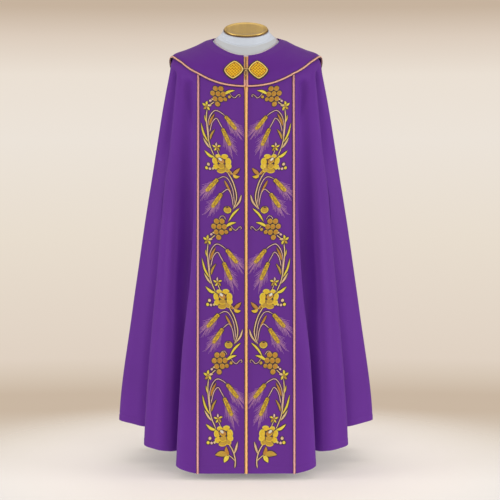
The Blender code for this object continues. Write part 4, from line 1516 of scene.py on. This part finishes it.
def clasp(side):
    """Gold-work mount with its knot, its twisted edges and a dark cord round it that paints the mount's
    shadow on the collar.
    """
    name = f"cope_clasp_{SIDES[side]}"
    sizes = [0.03 + 0.97 * step / CLASP_STEPS for step in range(CLASP_STEPS + 1)]
    rings = [clasp_ring(side, size, clasp_height(size)) for size in sizes]
    rings.append(clasp_ring(side, 1.0, -0.0004))
    places, flat = (np.array(grids) for grids in zip(*rings))
    flat = np.concatenate([flat, flat[:, :1]], axis=1)
    mount = skin(places, flat, ends=(0,), angle=PANEL_CREASE)
    if mount.polygons[0].normal.y > 0:
        mount.flip_normals()
    add_piece(name, mount, "clasp_gold_ground", "clasp_gold_work", f"clasp_{SIDES[side]}")
    add_piece(f"{name}_knot", clasp_knot(side), "clasp_gold_work", "clasp_gold_work")
    for word, (size, height, radius, relief, finish) in CLASP_CORDS.items():
        path, _ = clasp_ring(side, size, height)
        mesh = cord(path, radius, 10, THREAD_SPACING, 2, relief, EDGE_TWIST, closed=True)
        add_piece(f"{name}_{word}", mesh, finish, "clasp_gold_work")


def hook_and_eye():
    """The wire hook that bridges the mounts, and the eye that hangs from it."""
    reach = CLASP_X - CLASP_HALF_WIDTH * HOOK_OVERLAP
    top = CLASP_THICKNESS * 1.05 + HOOK_WIRE + CLEARANCE
    _, y, z = on_collar(np.array(reach), np.array(CLASP_Z + 0.001), np.array(top))
    shares = np.linspace(-1, 1, 13)
    bow = 1 - shares * shares
    path = np.stack([shares * reach, y - HOOK_BOW * bow, z + HOOK_RISE * bow], axis=1)
    hook = cord(path, HOOK_WIRE, WIRE_SIDES, WIRE_SPACING)
    add_piece("cope_hook", hook, "hook_metal", "hook_metal", "clasp_hook")
    path = []
    for turn in np.linspace(0, 2 * math.pi, 48, endpoint=False):
        x = EYE_HALF_WIDTH * math.cos(turn) * (1 - 0.35 * math.sin(turn))
        height = z - EYE_DROP - EYE_HALF_HEIGHT * (1 - math.sin(turn))
        face = in_frame(smooth_body(0.0, level_at_height(0.0, height)))[1] - 2 * CENTRE_CORD + CLOTH
        path.append((x, face - HOOK_WIRE - 2 * CLEARANCE, height))
    eye = cord(path, HOOK_WIRE, WIRE_SIDES, WIRE_SPACING, closed=True)
    add_piece("cope_eye", eye, "hook_metal", "hook_metal", "clasp_eye")


for wearer_side in SIDES:
    clasp(wearer_side)
hook_and_eye()

# ---------------------------------------------------------------- the dress form
# Ovals of the body from the neck's top down to its foot
BODY = (
    (0.0780, 0.0720, 0.0720, 1.4523, 1.4812, 1.5100),
    (0.0815, 0.0745, 0.0718, 1.4360, 1.4735, 1.4950),
    (0.0890, 0.0790, 0.0710, 1.4210, 1.4650, 1.4800),
    (0.1000, 0.0838, 0.0702, 1.4050, 1.4560, 1.4630),
    (0.1105, 0.0885, 0.0692, 1.3890, 1.4463, 1.4475),
    (0.1555, 0.1020, 0.0832, 1.3685, 1.4230, 1.4252),
    (0.1990, 0.1113, 0.0980, 1.3460, 1.4040, 1.3980),
    (0.2250, 0.1120, 0.1050, 1.3180, 1.3800, 1.3660),
    (0.2320, 0.1100, 0.1070, 1.2700, 1.3300, 1.3180),
    (0.2150, 0.1060, 0.1030, 1.1900, 1.2200, 1.2100),
    (0.1700, 0.0980, 0.0880, 1.0300, 1.0350, 1.0300),
    (0.1880, 0.1080, 0.1000, 0.8900, 0.8900, 0.8900),
    (0.1820, 0.1040, 0.0960, 0.8000, 0.8000, 0.8000),
    (0.1640, 0.0900, 0.0820, 0.7700, 0.7700, 0.7700),
    (0.1400, 0.0720, 0.0640, 0.7600, 0.7600, 0.7600),
)
BODY_SIDES = 96
BODY_STEPS = 8
NECK_STEPS = 24
NECK_ROWS = 4
NECK_CREASE = 1.62
NECK_EDGE = 3.72
NECK_BAND_ROWS = 16
NECK_BAND_LIFT = 0.0007
BINDING_LIFT = 0.0010
BINDING_RADIUS = 0.0011
THROAT_DEPTH = 0.0016
THROAT_FOLD = 0.0008
# radius of the dark cord that paints the shadow line under the cap
SHADOW_RING_RADIUS = 0.0021
CAP_RADIUS = 0.0735
CAP_TILT = math.radians(22)
CAP_HEIGHT = 1.4823
TURNS = [2 * math.pi * step / BODY_SIDES for step in range(BODY_SIDES)]


def body_ring(place, relief):
    """Points round the form, each at its place between the table's rows and moved out by its relief."""
    ring = []
    for turn in TURNS:
        position = place(turn)
        point = oval_point(oval_at(BODY, position), min(turn, 2 * math.pi - turn))
        if turn > math.pi:
            point.x = -point.x
        away = Vector((point.x, point.y, 0.0)).normalized()
        ring.append(point + away * relief(position, math.cos(turn)))
    return in_frame(ring)


def neck_band_place(share):
    """Where a share of the neck band lies: deep at the throat and narrow at the nape."""
    def place(turn):
        top = NECK_CREASE + 0.05 + 1.1 * (1 - math.cos(turn)) ** 0.8
        return top + (NECK_EDGE - top) * share
    return place


def jersey_relief(position, front):
    """The jersey's crease round the throat and the soft fold under it."""
    below = position - NECK_CREASE
    relief = THROAT_FOLD * mound(below - 0.28, 0.2) - THROAT_DEPTH * mound(below, 0.14)
    return relief * max(0.0, front) ** 0.5


def form_skin(rings, ends=(0, -1)):
    """Skin over rings of points from top to bottom, with UVs in metres."""
    rings = np.array(rings)
    lengths = arc_lengths(np.concatenate([rings, rings[:, :1]], axis=1))
    return skin(rings, np.stack(lengths, axis=2), ends)


def torso():
    """The form's body under its jersey, with a greyer band let in below the throat."""
    places = [step / NECK_STEPS for step in range(NECK_ROWS * NECK_STEPS)]
    last = (len(BODY) - 1) * BODY_STEPS
    places += [step / BODY_STEPS for step in range(NECK_ROWS * BODY_STEPS, last + 1)]
    body = form_skin([body_ring(lambda turn: place, jersey_relief) for place in places])
    add_piece("form_body_jersey", body, "form_jersey", "form_jersey", "form_torso")
    shares = np.linspace(0, 1, NECK_BAND_ROWS + 1)
    band = [body_ring(neck_band_place(share), lambda *_: NECK_BAND_LIFT) for share in shares]
    add_piece("form_neck_band", form_skin(band, ()), "form_grey_jersey", "form_jersey")
    edge = body_ring(neck_band_place(1.0), lambda *_: BINDING_LIFT)
    binding = cord(edge, BINDING_RADIUS, THIN_SIDES, 0.004, closed=True)
    add_piece("form_neck_binding", binding, "form_neck_binding", "form_jersey")


# The turned cap's profile from its middle over the rim and back: radius and height
CAP_PROFILE = (
    (0.010, 0.0064),
    (0.030, 0.0065),
    (0.050, 0.0066),
    (CAP_RADIUS - 0.0056, 0.0066),
    (CAP_RADIUS - 0.0050, 0.0070),
    (CAP_RADIUS - 0.0014, 0.0070),
    (CAP_RADIUS - 0.0003, 0.0064),
    (CAP_RADIUS, 0.0054),
    (CAP_RADIUS, 0.0016),
    (CAP_RADIUS - 0.0010, 0.0002),
    (CAP_RADIUS - 0.0030, 0.0),
    (0.030, 0.0),
)


def tilted_ring(radius, height):
    """A ring of the slanted neck cap."""
    back = -radius * np.cos(TURNS)
    y = back * math.cos(CAP_TILT) - height * math.sin(CAP_TILT)
    z = CAP_HEIGHT + back * math.sin(CAP_TILT) + height * math.cos(CAP_TILT)
    return in_frame(np.stack([radius * np.sin(TURNS), y, z], axis=1))


def neck_cap():
    """The brass cap with its raised rim, and a dark cord under it that paints the shadow line between cap
    and neck.
    """
    cap = form_skin([tilted_ring(radius, height) for radius, height in CAP_PROFILE])
    add_piece("form_cap_turned", cap, "form_cap_brass", "form_cap", "form_neck_cap")
    # a dark cord just outside the cap's rim: painted shadow line
    ring = tilted_ring(CAP_RADIUS + 0.0004, 0.0018)
    shadow_ring = cord(ring, SHADOW_RING_RADIUS, THIN_SIDES, 0.0045, closed=True)
    add_piece("form_cap_seal", shadow_ring, "form_cap_seal", "form_cap")


torso()
neck_cap()

# ---------------------------------------------------------------- carried-over solids
for node in ("form_pole", "form_base"):
    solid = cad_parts[node]
    solid.data.materials.clear()
    solid.data.materials.append(FINISHES["form_stand_enamel"])

# ---------------------------------------------------------------- floor, light and camera
FLOOR_SOLID = 0.55
FLOOR_FADE = 1.25
CAMERA_DISTANCE = 5.0097
CAMERA_HEIGHT = 1.0914
CAMERA_DOWN = math.radians(4.047)
CAMERA_ROLL = -0.00273
SENSOR = 36.0
LENS = 105.56
FLOOR_GLOW = 0.22
STUDIO_LIGHT = 0.54
# Tones of the surroundings from below the horizon to above it; the darker band a little below the horizon
# and the darkening towards the top are painted shade of a studio sweep
STUDIO_TONES = (
    (0.00, (0.835, 0.800, 0.760)),
    (0.05, (0.825, 0.790, 0.750)),
    (0.12, (0.720, 0.635, 0.540)),
    (0.175, (0.590, 0.474, 0.365)),
    (0.205, (0.590, 0.474, 0.365)),
    (0.24, (0.680, 0.573, 0.465)),
    (0.27, (0.745, 0.640, 0.540)),
    (0.33, (0.765, 0.665, 0.565)),
    (0.50, (0.810, 0.725, 0.620)),
    (0.68, (0.838, 0.768, 0.690)),
    (0.80, (0.828, 0.745, 0.655)),
    (0.87, (0.720, 0.610, 0.510)),
    (0.925, (0.570, 0.452, 0.345)),
)
# Soft lamps: place, height of the spot that they face, width and height, power and colour
LAMPS = {
    "key": ((-0.9, -4.4, 2.1), 0.8, (2.4, 2.2), 56, (1.0, 0.98, 0.96)),
    "fill": ((1.6, -4.2, 1.6), 0.8, (2.4, 2.2), 49, (1.0, 0.98, 0.97)),
    "left": ((-4.2, -1.1, 1.5), 0.8, (2.2, 2.4), 96, (1.0, 0.98, 0.97)),
    "right": ((4.2, -1.1, 1.5), 0.8, (2.2, 2.4), 96, (1.0, 0.98, 0.97)),
    "above": ((0.0, 0.9, 4.7), 0.3, (3.6, 3.0), 55, (1.0, 0.98, 0.96)),
    "back": ((0.3, 4.4, 2.4), 0.9, (3.0, 2.6), 25, (1.0, 0.98, 0.95)),
}


def span(tree, value, low, high, low_value=0.0, high_value=1.0, interpolation="LINEAR"):
    """A number read over a span, as another number."""
    inputs = {"Value": value, "From Min": low, "From Max": high, "To Min": low_value, "To Max": high_value}
    return add_node(tree, "MapRange", inputs, interpolation_type=interpolation).outputs["Result"]


def floor():
    """A plain pale floor that fades into the pale surroundings."""
    deselect()
    bpy.ops.mesh.primitive_circle_add(vertices=96, radius=FLOOR_FADE * 1.1, fill_type="NGON")
    piece = bpy.context.object
    piece.name = "floor"
    made, tree, shader, places = new_material("pale_floor")
    reach = add_node(tree, "VectorMath", {0: places["Object"]}, operation="LENGTH").outputs["Value"]
    feed(tree, shader, {
        "Base Color": (0.78, 0.76, 0.73, 1),
        "Roughness": 0.75,
        "Specular IOR Level": 0.2,
        "Emission Color": (0.90, 0.87, 0.82, 1),
        "Emission Strength": FLOOR_GLOW,
        "Alpha": span(tree, reach, FLOOR_SOLID, FLOOR_FADE, 1.0, 0.0, "SMOOTHSTEP"),
    })
    piece.data.materials.append(made)


def surroundings():
    """Pale warm surroundings, seen brighter than they light."""
    world = bpy.data.worlds.new("pale_studio")
    world.use_nodes = True
    bpy.context.scene.world = world
    tree = world.node_tree
    way = add_node(tree, "TexCoord").outputs["Generated"]
    up = add_node(tree, "SeparateXYZ", {0: way}).outputs["Z"]
    seen = add_node(tree, "LightPath").outputs["Is Camera Ray"]
    feed(tree, tree.nodes["Background"], {
        "Color": colour_ramp(tree, span(tree, up, -0.24, 0.12), STUDIO_TONES),
        "Strength": span(tree, seen, 0.0, 1.0, STUDIO_LIGHT, 1.0),
    })


def soft_lamps():
    """Large soft lamps round the form, each facing a spot on its middle line."""
    for name, (place, spot_z, size, power, colour) in LAMPS.items():
        lamp = bpy.data.lights.new(name, "AREA")
        lamp.shape = "RECTANGLE"
        lamp.size, lamp.size_y = size
        lamp.energy = power
        lamp.color = colour
        made = bpy.data.objects.new(name, lamp)
        bpy.context.scene.collection.objects.link(made)
        made.location = place
        made.rotation_euler = (Vector((0, 0, spot_z)) - Vector(place)).to_track_quat("-Z", "Y").to_euler()


def camera():
    """The view: level with the chest and a little down."""
    data = bpy.data.cameras.new("camera")
    data.sensor_width = SENSOR
    data.lens = LENS
    made = bpy.data.objects.new("camera", data)
    scene = bpy.context.scene
    scene.collection.objects.link(made)
    made.location = (0.0, FORM_Y - CAMERA_DISTANCE, CAMERA_HEIGHT)
    made.rotation_euler = (math.pi / 2 - CAMERA_DOWN, 0.0, CAMERA_ROLL)
    scene.camera = made
    scene.view_settings.view_transform = "Standard"


floor()
surroundings()
soft_lamps()
camera()
